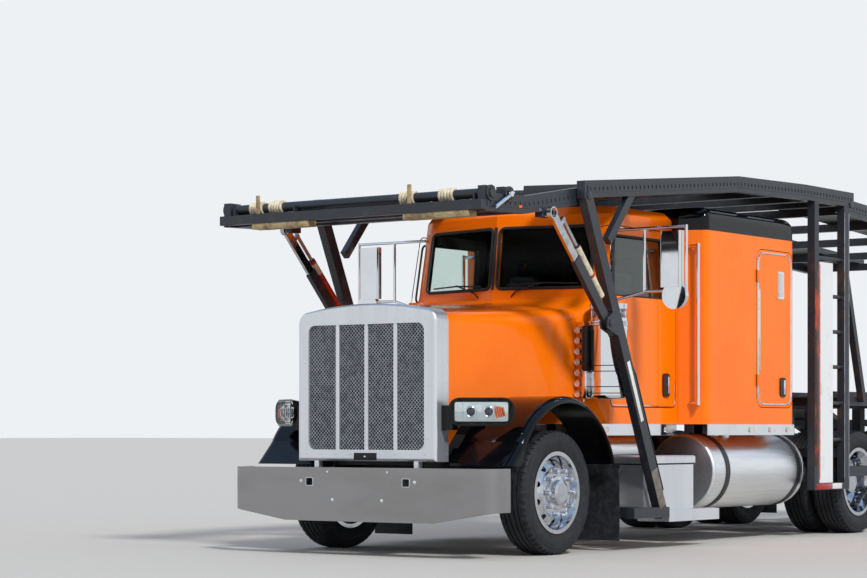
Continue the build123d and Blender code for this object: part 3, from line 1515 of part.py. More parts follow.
# Rear posts of the rack, with their low brackets, side rails and the ladder between them.
first_post = (3780, 3860)
second_post = (4350, 4450)
post_top_first = cab_deck_line[2][1] - deck_rail_depth / 2 - running_gap
side_rail_z = (520, 610)
plank = (3900, 4150)
plank_z = (470, 2400)
rung_heights = (850, 1170, 1490, 1800, 2110, 2440)
rung_radius = 16
last_post = (7700, 7800)
last_post_top = 1900
first_beam = (3880, 3960)
post_beam_z = (690, 770)
tail_beam_z = (430, 510)
rear_strut_foot = (7200, 700)
rear_strut_head = (7520, 2660)
with BuildPart() as rack_posts:
    for near, far, top in ((*first_post, post_top_first), (*second_post, post_top_first)):
        block((rack_inner_x, rack_outer_x), (back(near), back(far)), (post_feet_z, top))
    block((rack_inner_x, rack_outer_x), (back(first_post[1] - 1), back(second_post[0] + 1)),
          (post_feet_z, plank_z[0] - running_gap))
    block((rack_inner_x, rack_outer_x), (back(second_post[1] - 1), back(last_post[0] + 1)), side_rail_z)
    block((rack_inner_x, rack_outer_x), (back(last_post[0]), back(last_post[1])), (tail_beam_z[0], last_post_top))
    for (near, far), heights in ((second_post, post_beam_z), (last_post, tail_beam_z)):
        block((rail_x + running_gap, rack_inner_x + 1), (back(near + 10), back(far - 10)), heights)
    block((rail_x - 80, rack_inner_x + 1), (back(first_beam[0]), back(first_beam[1])),
          (post_feet_z, plank_z[0] - running_gap))
    block((rail_x - 80, rail_x), (back(first_beam[0]), back(first_beam[1])),
          (plank_z[0] - 1, rail_bottom - running_gap))
    for low, high in ((rack_inner_x, rack_inner_x + fork_plate), (rack_outer_x - fork_plate, rack_outer_x)):
        block((low, high), (back(rear_strut_foot[0] - 70), back(rear_strut_foot[0] + 70)),
              (side_rail_z[1] - 1, rear_strut_foot[1] + 50))
    rod((rack_inner_x, back(rear_strut_foot[0]), rear_strut_foot[1]),
        (rack_outer_x, back(rear_strut_foot[0]), rear_strut_foot[1]), fork_pin_radius)
    bar((rack_x, back(second_post[1] - 20), 2300), (rack_x, back(second_post[1] + 330), 1190), 60, 60)
    both_sides()
rack_posts.part.label = "rack_posts"
export_step(rack_posts.part, "parts/rack_posts.step")

with BuildPart() as ladders:
    block((rack_inner_x + 8, rack_outer_x - 12), (back(plank[0]), back(plank[1])), plank_z)
    for height in rung_heights:
        rod((rack_x, back(plank[1] - 1 if height < plank_z[1] else first_post[1] + running_gap), height),
            (rack_x, back(second_post[0] - running_gap), height), rung_radius)
    both_sides()
ladders.part.label = "ladders"
export_step(ladders.part, "parts/ladders.step")

# Lower deck: runways over the drive axles on cross members that stand on the rails.
lower_deck_line = ((4480, 1215), (7300, 1215), (8200, 900))
lower_deck_crosses = (4560, 5500, 6500, 7250)
tail_leg = (7800, 7870)
tail_leg_x = (310, 400)
tail_leg_foot = 548
with BuildPart() as lower_deck:
    deck_runway(lower_deck_line, 20)
    for place in lower_deck_crosses:
        height = 1235 - runway_plate - cross_tube / 2
        block((-1, rack_inner_x - running_gap), (back(place - cross_tube / 2), back(place + cross_tube / 2)),
              (height - cross_tube / 2, height + cross_tube / 2 + 1))
    for place in (4560, 5500, 6500):
        block((rail_x - rail_flange, rail_x), (back(place - 50), back(place + 50)),
              (rail_top + running_gap, 1235 - runway_plate - cross_tube + 1))
    with BuildSketch(Plane.YZ.offset(rack_inner_x - 60)) as edge_rail:
        with BuildLine():
            Polyline((back(4480), 1150), (back(4480), 1230), (back(7680), 1230), (back(7680), 1150), close=True)
        make_face()
    extrude(edge_rail.sketch, amount=60 - running_gap)
    block((-1, runway_outer_x), (back(8130), back(8200)), (836, 908))
    tail_cross_top = deck_height(lower_deck_line, tail_leg[0]) + 1
    block((-1, runway_outer_x), (back(tail_leg[0]), back(tail_leg[1])), (tail_cross_top - cross_tube, tail_cross_top))
    block(tail_leg_x, (back(tail_leg[0]), back(tail_leg[1])),
          (tail_leg_foot, tail_cross_top - cross_tube + 1))
    both_sides()
lower_deck.part.label = "lower_deck"
export_step(lower_deck.part, "parts/lower_deck.step")

# Front deck: it pivots on the legs and carries the first car's wheels over the hood.
front_deck_line = ((-1120, 2545), (-600, 2560), (250, 2700))
front_deck_reach = -nose_ahead
roller_radius = 36
roller_places = (-1060, -830)
head_pin_radius = 14
with BuildPart() as front_deck:
    deck_side(front_deck_line, deck_rail_inner_x, deck_rail_outer_x - deck_rail_inner_x)
    deck_runway(front_deck_line, 20)
    for place in (-1000, -480, 150):
        height = deck_height(front_deck_line, place) + 20 - runway_plate - cross_tube / 2
        block((-1, deck_rail_inner_x + 1), (back(place - cross_tube / 2), back(place + cross_tube / 2)),
              (height - cross_tube / 2, height + cross_tube / 2 + 1))
    block((-1, deck_rail_outer_x), (back(front_deck_reach), back(-1119)), (2490, 2560))
    rod((deck_rail_inner_x - 5, back(leg_top[0]), leg_top[1]), (deck_rail_outer_x + 1, back(leg_top[0]), leg_top[1]),
        pivot_pin_radius + 0.5, mode=Mode.SUBTRACT)
    block((deck_rail_inner_x, deck_rail_outer_x), (back(strut_head[0] - 60), back(strut_head[0] + 60)),
          (strut_head[1] - 30, deck_height(front_deck_line, strut_head[0])))
    rod((deck_rail_outer_x - 1, back(strut_head[0]), strut_head[1]),
        (strut_x + strut_width / 2, back(strut_head[0]), strut_head[1]), head_pin_radius)
    for place in roller_places:
        roller_z = deck_height(front_deck_line, place) + 20 + runway_lip
        rod((-1, back(place), roller_z), (deck_rail_inner_x + 1, back(place), roller_z), roller_radius)
        block((deck_rail_inner_x, deck_rail_outer_x), (back(place - 60), back(place + 60)),
              (roller_z - 60, roller_z + 50))
    both_sides()
front_deck.part.label = "front_deck"
export_step(front_deck.part, "parts/front_deck.step")

# Lifting struts of the front deck: a box sleeve on the leg's fork, and a box with its
# hydraulic rod that slides out of it. The rod's eye is open round the deck's pin.
strut_run = Vector(0, strut_head[0] - strut_foot[0], strut_head[1] - strut_foot[1])
strut_length = strut_run.length
strut_way = strut_run.normalized()
strut_square = Vector(0, strut_way.Z, -strut_way.Y)
strut_start = Vector(strut_x, back(strut_foot[0]), strut_foot[1])
sleeve_reach = (70, 640)
inner_start = 300
barrel_reach = (200, 700)
barrel_off = -78
barrel_radius = 28
ram_radius = 15
sleeve_size = 84
sleeve_wall = 7
inner_size = sleeve_size - 2 * sleeve_wall - 2 * running_gap


def along_strut(distance, off=0):
    """A point this far up the strut from its foot pin, and off it towards the front."""
    return tuple(strut_start + strut_way * distance - strut_square * off)


with BuildPart() as strut_sleeves:
    bar(along_strut(sleeve_reach[0]), along_strut(sleeve_reach[1]), strut_width, sleeve_size)
    bar(along_strut(sleeve_reach[0] + 30), along_strut(sleeve_reach[1] + 1), strut_width - 2 * sleeve_wall,
        sleeve_size - 2 * sleeve_wall, mode=Mode.SUBTRACT)
    bar(along_strut(-28), along_strut(sleeve_reach[0] + 1), strut_width, 52)
    rod(along_strut(barrel_reach[0], barrel_off), along_strut(barrel_reach[1], barrel_off), barrel_radius)
    rod(along_strut(barrel_reach[0] + 30, barrel_off), along_strut(barrel_reach[1] + 1, barrel_off),
        ram_radius + 2, mode=Mode.SUBTRACT)
    for distance in (barrel_reach[0] + 25, sleeve_reach[1] - 25):
        bar(along_strut(distance, barrel_off / 2 - 9), along_strut(distance + 1, -sleeve_size / 2 + 1), 24, 50)
    rod((strut_x - strut_width, back(strut_foot[0]), strut_foot[1]),
        (strut_x + strut_width, back(strut_foot[0]), strut_foot[1]), fork_pin_radius + 0.5, mode=Mode.SUBTRACT)
    both_sides()
strut_sleeves.part.label = "strut_sleeves"
export_step(strut_sleeves.part, "parts/strut_sleeves.step")

eye_outer = 46
eye_clear = 34
ram_lug = strut_length - 130
with BuildPart() as strut_rods:
    bar(along_strut(inner_start), along_strut(strut_length - 30), strut_width - 2 * sleeve_wall - 2 * running_gap, inner_size)
    rod((strut_x - strut_width / 2 + 2, back(strut_head[0]), strut_head[1]),
        (strut_x + strut_width / 2 - 2, back(strut_head[0]), strut_head[1]), eye_outer)
    rod(along_strut(barrel_reach[1] - 250, barrel_off), along_strut(ram_lug + 20, barrel_off), ram_radius)
    bar(along_strut(ram_lug, barrel_off - ram_radius), along_strut(ram_lug, 0), 24, 30)
    rod((strut_x - strut_width, back(strut_head[0]), strut_head[1]),
        (strut_x + strut_width, back(strut_head[0]), strut_head[1]), eye_clear, mode=Mode.SUBTRACT)
    both_sides()
strut_rods.part.label = "strut_rods"
export_step(strut_rods.part, "parts/strut_rods.step")

# Rear deck: hinged on the ends of the fixed deck's rails and held up by two long struts.
rear_deck_line = ((4440, 2944), (tail_behind, 2700))
rear_deck_crosses = (4620, 5600, 6600, 7600, 8440)
with BuildPart() as rear_deck:
    deck_side(rear_deck_line, deck_rail_inner_x, deck_rail_outer_x - deck_rail_inner_x)
    deck_runway(rear_deck_line, 20)
    for place in rear_deck_crosses:
        height = deck_height(rear_deck_line, place) + 20 - runway_plate - cross_tube / 2
        block((-1, deck_rail_inner_x + 1), (back(place - cross_tube / 2), back(place + cross_tube / 2)),
              (height - cross_tube / 2, height + cross_tube / 2 + 1))
    rod((deck_rail_inner_x - 5, back(rear_pivot[0]), rear_pivot[1]),
        (deck_rail_outer_x + 1, back(rear_pivot[0]), rear_pivot[1]), pivot_pin_radius + 0.5, mode=Mode.SUBTRACT)
    block((deck_rail_inner_x, deck_rail_outer_x), (back(rear_strut_head[0] - 60), back(rear_strut_head[0] + 60)),
          (rear_strut_head[1] - 30, deck_height(rear_deck_line, rear_strut_head[0])))
    rod((deck_rail_outer_x - 1, back(rear_strut_head[0]), rear_strut_head[1]),
        (strut_x + strut_width / 2, back(rear_strut_head[0]), rear_strut_head[1]), head_pin_radius)
    both_sides()
rear_deck.part.label = "rear_deck"
export_step(rear_deck.part, "parts/rear_deck.step")

rear_way = Vector(0, rear_strut_head[0] - rear_strut_foot[0], rear_strut_head[1] - rear_strut_foot[1])
rear_length = rear_way.length
rear_start = Vector(strut_x, back(rear_strut_foot[0]), rear_strut_foot[1])
rear_barrel_reach = (60, 1250)
rear_barrel_radius = 34
rear_rod_radius = 22
rear_rod_start = 950


def along_rear(distance):
    """A point this far up the rear strut from its foot pin."""
    return tuple(rear_start + rear_way.normalized() * distance)


with BuildPart() as rear_lift_barrels:
    rod(along_rear(rear_barrel_reach[0]), along_rear(rear_barrel_reach[1]), rear_barrel_radius)
    rod(along_rear(rear_barrel_reach[0] + 30), along_rear(rear_barrel_reach[1] - 40), rear_rod_radius + 4,
        mode=Mode.SUBTRACT)
    rod(along_rear(rear_barrel_reach[1] - 41), along_rear(rear_barrel_reach[1] + 1), rear_rod_radius + running_gap,
        mode=Mode.SUBTRACT)
    bar(along_rear(-28), along_rear(rear_barrel_reach[0] + 1), strut_width, 52)
    rod((strut_x - strut_width, back(rear_strut_foot[0]), rear_strut_foot[1]),
        (strut_x + strut_width, back(rear_strut_foot[0]), rear_strut_foot[1]), fork_pin_radius + 0.5,
        mode=Mode.SUBTRACT)
    both_sides()
rear_lift_barrels.part.label = "rear_lift_barrels"
export_step(rear_lift_barrels.part, "parts/rear_lift_barrels.step")

with BuildPart() as rear_lift_rods:
    rod(along_rear(rear_rod_start), along_rear(rear_length - eye_clear - 2), rear_rod_radius)
    rod((strut_x - strut_width / 2 + 2, back(rear_strut_head[0]), rear_strut_head[1]),
        (strut_x + strut_width / 2 - 2, back(rear_strut_head[0]), rear_strut_head[1]), eye_outer)
    rod((strut_x - strut_width, back(rear_strut_head[0]), rear_strut_head[1]),
        (strut_x + strut_width, back(rear_strut_head[0]), rear_strut_head[1]), eye_clear, mode=Mode.SUBTRACT)
    both_sides()
rear_lift_rods.part.label = "rear_lift_rods"
export_step(rear_lift_rods.part, "parts/rear_lift_rods.step")

# Tail lamps on the lower deck's last cross tube.
tail_lamp_places = (660, 790, 920)
tail_lamp_z = 872
with BuildPart() as tail_lamps:
    for x in tail_lamp_places:
        rod((x, back(8200 + running_gap), tail_lamp_z), (x, back(8228), tail_lamp_z), 34)
    both_sides()
tail_lamps.part.label = "tail_lamps"
export_step(tail_lamps.part, "parts/tail_lamps.step")
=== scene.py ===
import math

import bmesh
import bpy
from mathutils import Euler, Matrix, Vector


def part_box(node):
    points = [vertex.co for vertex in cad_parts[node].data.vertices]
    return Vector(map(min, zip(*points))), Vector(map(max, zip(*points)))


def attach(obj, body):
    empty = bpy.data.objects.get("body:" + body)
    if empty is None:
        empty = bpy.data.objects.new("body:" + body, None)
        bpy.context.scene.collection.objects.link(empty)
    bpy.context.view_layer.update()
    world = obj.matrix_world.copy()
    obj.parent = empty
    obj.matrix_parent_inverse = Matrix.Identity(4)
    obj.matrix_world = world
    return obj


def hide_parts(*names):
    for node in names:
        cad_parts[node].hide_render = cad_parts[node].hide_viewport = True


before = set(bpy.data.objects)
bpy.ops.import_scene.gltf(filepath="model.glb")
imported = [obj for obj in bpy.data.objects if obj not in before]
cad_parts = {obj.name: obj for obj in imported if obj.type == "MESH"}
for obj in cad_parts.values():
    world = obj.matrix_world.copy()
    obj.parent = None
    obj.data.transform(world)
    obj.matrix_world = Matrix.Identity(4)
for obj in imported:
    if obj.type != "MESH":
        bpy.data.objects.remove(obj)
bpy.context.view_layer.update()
bpy.ops.object.select_all(action="DESELECT")

# The truck is put together from the ground up: chassis and wheels first, then nose, cab,
# sleeper, rack and decks, and last the studio it stands in.

# Chassis: rails, cross members, axles and tank straps of pressed and forged steel, bolted up
# and sprayed black as one. Engine and steering knuckles are raw castings hung between them.
def linear(code):
    """A shader colour from an sRGB hex value."""
    parts = (int(code[place:place + 2], 16) / 255 for place in (1, 3, 5))
    return (*(part / 12.92 if part <= 0.04045 else ((part + 0.055) / 1.055) ** 2.4 for part in parts), 1.0)


def add_node(material, kind, settings, links):
    """Adds a node with its settings, and joins its inputs to outputs of other nodes."""
    node = material.node_tree.nodes.new("ShaderNode" + kind)
    for name, value in settings.items():
        if name in node.inputs:
            node.inputs[name].default_value = value
        else:
            setattr(node, name, value)
    for name, (source, output) in links.items():
        material.node_tree.links.new(source.outputs[output], node.inputs[name])
    return node


def surface(name, clean, worn, grain_mm, gloss, bump_mm=0.0, stretch=(1, 1, 1), patch=(0.45, 0.62), **shader):
    """A finish whose colour and roughness wander between clean and worn patches.

    The grain is the size of the patches in millimetres, gloss the two roughnesses, and patch
    where in the noise the worn finish begins and where it is full."""
    material = bpy.data.materials.new(name)
    material.use_nodes = True
    material.node_tree.nodes.clear()
    place = add_node(material, "TexCoord", {}, {})
    turned = add_node(material, "Mapping", {"Scale": stretch}, {"Vector": (place, "Object")})
    patches = add_node(material, "TexNoise",
                       {"Scale": 1000 / grain_mm, "Detail": 6.0, "Roughness": 0.62},
                       {"Vector": (turned, "Vector")})
    tint = add_node(material, "ValToRGB", {}, {"Fac": (patches, "Fac")})
    for element, position, code in zip(tint.color_ramp.elements, patch, (clean, worn)):
        element.position = position
        element.color = linear(code)
    sheen = add_node(material, "MapRange",
                     {"From Min": patch[0], "From Max": patch[1], "To Min": gloss[0], "To Max": gloss[1]},
                     {"Value": (patches, "Fac")})
    links = {"Base Color": (tint, "Color"), "Roughness": (sheen, "Result")}
    if bump_mm:
        relief = add_node(material, "Bump", {"Distance": bump_mm / 1000, "Strength": 0.6},
                          {"Height": (patches, "Fac")})
        links["Normal"] = (relief, "Normal")
    body = add_node(material, "BsdfPrincipled", shader, links)
    add_node(material, "OutputMaterial", {}, {"Surface": (body, "BSDF")})
    return material


def dress(material, *names):
    """Gives CAD nodes their finish."""
    for name in names:
        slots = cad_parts[name].material_slots
        for place in range(len(slots)):
            slots[place].material = material


# Paint over steel: satin where it is clean, grey and flat where road dust has settled.
chassis_paint = surface("chassis_paint_over_steel", "#1C1D1F", "#2B2A28", 220, (0.38, 0.62), 0.2)
dress(chassis_paint, "frame_rails", "axles", "tank_straps")
# Grey iron as it left the sand mould: dull, grainy and a little brown.
cast_iron = surface("cast_iron_raw", "#2E2C2A", "#3C332B", 60, (0.6, 0.8), 0.8, Metallic=0.6)
dress(cast_iron, "powertrain", "knuckle_left", "knuckle_right")

# Tyres: natural rubber, moulded, with straight ribs and notched shoulders. The section is
# drawn from bead to bead and spun round the axle; the source's plain tyres give way to it.
def push_out(move):
    """Extrudes what is selected in edit mode by a move."""
    bpy.ops.mesh.extrude_region_move(TRANSFORM_OT_translate={"value": move})


def extrude_path(points):
    """Leaves in edit mode a wire that runs through the points, drawn vertex by vertex."""
    bpy.ops.mesh.primitive_plane_add(size=0.001, location=(0, 0, 0))
    bpy.ops.object.mode_set(mode="EDIT")
    bpy.ops.mesh.select_mode(type="VERT")
    bpy.ops.mesh.merge(type="CENTER")
    bpy.ops.transform.translate(value=points[0])
    for here, there in zip(points, points[1:]):
        push_out(Vector(there) - Vector(here))
    bpy.ops.mesh.select_all(action="SELECT")
    bpy.ops.mesh.remove_doubles(threshold=0.0001)


def closed(threshold=0.00001):
    """Ends the editing of a mesh: its doubles are merged and its faces turned outwards."""
    bpy.ops.mesh.select_all(action="SELECT")
    bpy.ops.mesh.remove_doubles(threshold=threshold)
    bpy.ops.mesh.normals_make_consistent(inside=False)
    bpy.ops.object.mode_set(mode="OBJECT")
    return bpy.context.object


def spun(section, steps):
    """A closed ring, spun round the X axis from its section, a list of (x, radius) points."""
    extrude_path([(x, 0, radius) for x, radius in (*section, section[0])])
    bpy.ops.mesh.select_all(action="SELECT")
    bpy.ops.mesh.spin(steps=steps, angle=math.tau, center=(0, 0, 0), axis=(1, 0, 0))
    return closed(0.0002)


def select_faces(piece, test):
    """Selects, in edit mode, the faces whose middle and normal pass the test."""
    bpy.ops.mesh.select_mode(type="FACE")
    bpy.ops.mesh.select_all(action="DESELECT")
    shape = bmesh.from_edit_mesh(piece.data)
    for face in shape.faces:
        face.select_set(test(face.calc_center_median(), face.normal))
    bmesh.update_edit_mesh(piece.data)


def put_on(piece, name, material, body, smooth=35):
    """Names a finished piece, gives it its finish and body, and applies its place."""
    bpy.ops.object.select_all(action="DESELECT")
    piece.select_set(True)
    bpy.context.view_layer.objects.active = piece
    bpy.ops.object.transform_apply()
    if smooth:
        bpy.ops.object.shade_smooth_by_angle(angle=math.radians(smooth))
    piece.name = name
    piece.data.name = name
    piece.data.materials.clear()
    piece.data.materials.append(material)
    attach(piece, body)
    bpy.ops.object.select_all(action="DESELECT")
    return piece


def joined(*parts):
    """Joins the pieces into the first."""
    bpy.ops.object.select_all(action="DESELECT")
    for part in parts:
        part.select_set(True)
    bpy.context.view_layer.objects.active = parts[0]
    bpy.ops.object.join()
    return bpy.context.object


def copies(model, places, keep=False):
    """Joins copies of a modelled piece, one at each place. The model goes, unless it is kept."""
    made = []
    for place in places:
        one = model.copy()
        one.data = model.data.copy()
        bpy.context.collection.objects.link(one)
        one.matrix_world = place
        made.append(one)
    if not keep:
        bpy.data.objects.remove(model)
    joined(*made)
    bpy.ops.object.transform_apply()
    if any(place.determinant() < 0 for place in places):
        bpy.ops.object.mode_set(mode="EDIT")
        closed()
    return bpy.context.object


def moved(places):
    """The moves that carry a model to each of the places."""
    return [Matrix.Translation(place) for place in places]


FRONT_AXLE_Y = -3.665


def back(distance):
    """The Y of a place this far behind the front axle, which is how the drawing gives places."""
    return FRONT_AXLE_Y + distance


TYRE_RADIUS = 0.465
SHOULDER = 0.097
SHOULDER_ROUND = 0.012
GROOVE_DEPTH = 0.013
NOTCHES = 54
NOTCH_DEPTH = 0.006


def is_notch(middle, normal):
    """Tells the faces round the shoulders where the tread is notched, every other one."""
    step = math.degrees(math.atan2(middle.z, middle.y)) / (180 / NOTCHES)
    on_slope = 0.4505 < math.hypot(middle.y, middle.z) < 0.4645
    return on_slope and abs(middle.x) > SHOULDER - SHOULDER_ROUND and round(step - 0.5) % 2 == 0


sidewall = ((-0.100, 0.296), (-0.106, 0.311), (-0.111, 0.318), (-0.114, 0.317), (-0.119, 0.330),
            (-0.126, 0.350), (-0.131, 0.372), (-0.1325, 0.386), (-0.131, 0.400), (-0.128, 0.412),
            (-0.1285, 0.416), (-0.1245, 0.421), (-0.121, 0.436), (-0.117, 0.450), (-0.110, 0.458),
            (-SHOULDER, 0.4625))
tread = [(-SHOULDER + SHOULDER_ROUND, TYRE_RADIUS)]
for middle in (-0.062, -0.021, 0.021, 0.062):
    for edge, depth in ((-0.006, 0.0), (-0.004, GROOVE_DEPTH), (0.004, GROOVE_DEPTH), (0.006, 0.0)):
        tread.append((middle + edge, TYRE_RADIUS - depth))
tread.append((SHOULDER - SHOULDER_ROUND, TYRE_RADIUS))
tyre_model = spun([*sidewall, *tread, *((-x, radius) for x, radius in reversed(sidewall))], 2 * NOTCHES)
bpy.ops.object.mode_set(mode="EDIT")
select_faces(tyre_model, is_notch)
bpy.ops.mesh.extrude_region_shrink_fatten(TRANSFORM_OT_shrink_fatten={"value": -NOTCH_DEPTH})
bpy.ops.object.mode_set(mode="OBJECT")

# Vulcanised rubber: near black and matt, greyer where the road has scuffed it.
rubber = surface("tyre_rubber_moulded", "#1B1C1F", "#2B2C30", 45, (0.6, 0.82), 0.25,
                 **{"Specular IOR Level": 0.35})
dress(rubber, "mud_flaps")
SIDES = (("left", 1), ("right", -1))
DRIVE_AXLES = (4.85, 6.15)
TWIN_MIDDLES = (0.765, 1.075)
tyre_rows = (("tyre_front", "wheel_front", 0.0, (0.975,)),
             ("tyres_drive1", "wheels_drive1", DRIVE_AXLES[0], TWIN_MIDDLES),
             ("tyres_drive2", "wheels_drive2", DRIVE_AXLES[1], TWIN_MIDDLES))
for node, body, distance, middles in tyre_rows:
    for end, side in SIDES:
        places = moved((side * x, back(distance), TYRE_RADIUS) for x in middles)
        tyres = copies(tyre_model, places, keep=True)
        put_on(tyres, f"{node}_{end}_treaded", rubber, f"{body}_{end}")
        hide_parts(f"{node}_{end}")
bpy.data.objects.remove(tyre_model)

# Wheels: forged aluminium, turned and polished, with ten hand holes. Each nut wears a long
# chromed cover with a flared foot and a domed end, and the front hubs a capped ring.
def cylinder(sides, radius, depth, turn):
    """Leaves in edit mode a cylinder that is turned to face its way."""
    bpy.ops.mesh.primitive_cylinder_add(vertices=sides, radius=radius, depth=depth, rotation=turn)
    bpy.ops.object.transform_apply()
    bpy.ops.object.mode_set(mode="EDIT")
    return bpy.context.object


OUTWARD = (0, math.radians(90), 0)
# Bare metal, turned and polished: it mirrors road and sky, softly where dust sits.
wheel_alloy = surface("aluminium_forged_polished", "#CDD0D5", "#B8BCC3", 35, (0.07, 0.2), Metallic=1.0)
dress(wheel_alloy, *(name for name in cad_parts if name.startswith("rim")))
# Plated over steel or plastic: a hard, sharp, nearly colourless mirror.
chrome = surface("chrome_plate_bright", "#E6E8EB", "#DADDE1", 60, (0.03, 0.07), Metallic=1.0)
cover = cylinder(14, 0.019, 0.05, OUTWARD)
select_faces(cover, lambda middle, normal: normal.x > 0.9)
bpy.ops.mesh.inset(thickness=0.003)
push_out((0.004, 0, 0))
push_out((0.005, 0, 0))
bpy.ops.transform.resize(value=(1, 0.55, 0.55))
select_faces(cover, lambda middle, normal: normal.x < -0.9)
push_out((-0.006, 0, 0))
bpy.ops.transform.resize(value=(1, 1.32, 1.32))
push_out((-0.003, 0, 0))
bpy.ops.object.mode_set(mode="OBJECT")
NUTS = 10
NUT_CIRCLE = 0.1675
nut_turns = [math.tau * step / NUTS for step in range(NUTS)]
hub_rows = (("front", "wheel_front", 0.0, 1.112), ("drive1", "wheels_drive1", DRIVE_AXLES[0], 0.961),
            ("drive2", "wheels_drive2", DRIVE_AXLES[1], 0.961))
for name, body, distance, face in hub_rows:
    for end, side in SIDES:
        spots = moved((side * face, back(distance) + NUT_CIRCLE * math.cos(turn),
                       TYRE_RADIUS + NUT_CIRCLE * math.sin(turn)) for turn in nut_turns)
        about = Matrix.Rotation(0 if side > 0 else math.pi, 4, "Z")
        covers = copies(cover, [spot @ about for spot in spots], keep=True)
        put_on(covers, f"nut_covers_{name}_{end}", chrome, f"{body}_{end}")
bpy.data.objects.remove(cover)

# Bumper: one deep sheet of stainless steel, bent to shape; its grey is a painted reflection of the
# dark road beneath it. Domed bolts hold it to the frame, and each tow opening has a folded bright rim.
def rod_along(points, radius):
    """A round rod bent through the points, as a closed mesh."""
    extrude_path(points)
    bpy.ops.object.mode_set(mode="OBJECT")
    bpy.ops.object.convert(target="CURVE")
    line = bpy.context.object
    line.data.bevel_depth = radius
    line.data.bevel_resolution = 2
    line.data.use_fill_caps = True
    bpy.ops.object.convert(target="MESH")
    return bpy.context.object


def rounded_loop(corners, radius):
    """The closed outline through the corners, each rounded over, as a list of points."""
    points = []
    for place, corner in enumerate(corners):
        corner = Vector(corner)
        before = (Vector(corners[place - 1]) - corner).normalized() * radius
        after = (Vector(corners[(place + 1) % len(corners)]) - corner).normalized() * radius
        points.extend(corner + before * (1 - step / 5) ** 2 + after * (step / 5) ** 2 for step in range(6))
    return [*points, points[0]]


def button(sides, radius, height, turn):
    """A bolt or rivet head with a domed top, turned to face its way."""
    head = cylinder(sides, radius, height, turn)
    way = Euler(turn).to_matrix() @ Vector((0, 0, 1))
    select_faces(head, lambda middle, normal: normal.dot(way) > 0.9)
    push_out(way * height * 0.45)
    bpy.ops.transform.resize(value=(0.72, 0.72, 0.72))
    push_out(way * height * 0.2)
    bpy.ops.transform.resize(value=(0.5, 0.5, 0.5))
    bpy.ops.object.mode_set(mode="OBJECT")
    return head


FORWARD = (math.radians(90), 0, 0)
MIRROR = Matrix.Scale(-1, 4, (1, 0, 0))


def both_sides(piece):
    """Joins a piece of the near side and its mirror image on the far side."""
    return copies(piece, (Matrix(), MIRROR))


# Sheet polished to a clean mirror with hardly a wave in it.
stainless = surface("stainless_steel_polished", "#DEE0E3", "#D9DBDE", 300, (0.045, 0.055), Metallic=1.0)
dress(stainless, "bright_trim", "air_cleaners", "mirror_left", "mirror_right")
# The same sheet, painted a darker grey in patches drawn sideways: a painted reflection of the dark road
# beneath it.
dark_reflection_steel = surface("stainless_steel_painted_dark_reflection", "#A3A2A4", "#999897", 420, (0.08, 0.1),
                       stretch=(0.3, 1, 1), Metallic=1.0)
dress(dark_reflection_steel, "bumper")
bumper_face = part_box("bumper")[0][1]
TOW_OPENING = (0.45, 0.547)
opening = rounded_loop(((-0.033, -0.03), (0.033, -0.03), (0.033, 0.03), (-0.033, 0.03)), 0.009)
rim = rod_along([(TOW_OPENING[0] + x, bumper_face, TOW_OPENING[1] + z) for x, z in opening], 0.0035)
bolts = copies(button(12, 0.014, 0.005, FORWARD),
               moved((x, bumper_face, z) for x, z in ((0.53, 0.552), (0.23, 0.414))))
stud = copies(button(12, 0.009, 0.003, FORWARD), moved([(0.28, bumper_face, 0.622)]))
put_on(both_sides(joined(bolts, stud, rim)), "bumper_bolts_and_rims", chrome, "chassis")

# Grille: a deep shell of satin aluminium, riveted round its opening, with a blank plate
# bracket bolted on below. Behind its three bars a lattice of steel wires is woven at a slant
# in front of the dark screen.
OPENING = (0.54, 0.786, 1.717)
SURROUND_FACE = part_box("grille_surround")[0][1]
WIRE_PITCH = 0.021
WIRE_ROWS = 69
# Bare satin sheet: pale, faintly streaked upright, with a soft shine instead of a mirror.
satin_alloy = surface("aluminium_sheet_satin", "#DDDFE3", "#D4D7DC", 260, (0.28, 0.35),
                      stretch=(1, 1, 0.15), Metallic=0.8)
dress(satin_alloy, "grille_surround", "radiator", "battery_boxes")
# Flat black: on the screen a painted shade that stands in for the dark depth behind the wires, on the plate
# bracket its own black paint.
black_paint_and_painted_depth = surface("grille_screen_painted_shade_and_black_paint", "#0C0C0D", "#151517", 60, (0.7, 0.85))
dress(black_paint_and_painted_depth, "grille_screen")
middle = Vector((0, back(-0.9112), (OPENING[1] + OPENING[2]) / 2))
bpy.ops.mesh.primitive_cube_add(size=1, location=middle)
bpy.ops.object.transform_apply()
wires = bpy.context.object
bpy.ops.object.mode_set(mode="EDIT")
bpy.ops.transform.resize(value=(1.46, 0.0022, 0.0042))
bpy.ops.transform.translate(value=(0, 0, -(WIRE_ROWS // 2) * WIRE_PITCH))
bpy.ops.object.mode_set(mode="OBJECT")
rows = wires.modifiers.new("rows", "ARRAY")
rows.count = WIRE_ROWS
rows.use_relative_offset = False
rows.use_constant_offset = True
rows.constant_offset_displace = (0, 0, WIRE_PITCH)
bpy.ops.object.modifier_apply(modifier="rows")
bpy.ops.object.mode_set(mode="EDIT")
bpy.ops.mesh.select_all(action="SELECT")
bpy.ops.transform.rotate(value=math.radians(45), orient_axis="Y", center_override=middle)
bpy.ops.mesh.duplicate_move(TRANSFORM_OT_translate={"value": (0, 0.0016, 0)})
bpy.ops.transform.rotate(value=math.radians(90), orient_axis="Y", center_override=middle)
for edge, way in (((-OPENING[0], 0, 0), (-1, 0, 0)), ((OPENING[0], 0, 0), (1, 0, 0)),
                  ((0, 0, OPENING[1]), (0, 0, -1)), ((0, 0, OPENING[2]), (0, 0, 1))):
    bpy.ops.mesh.select_all(action="SELECT")
    bpy.ops.mesh.bisect(plane_co=edge, plane_no=way, clear_outer=True, use_fill=True)
bpy.ops.object.mode_set(mode="OBJECT")
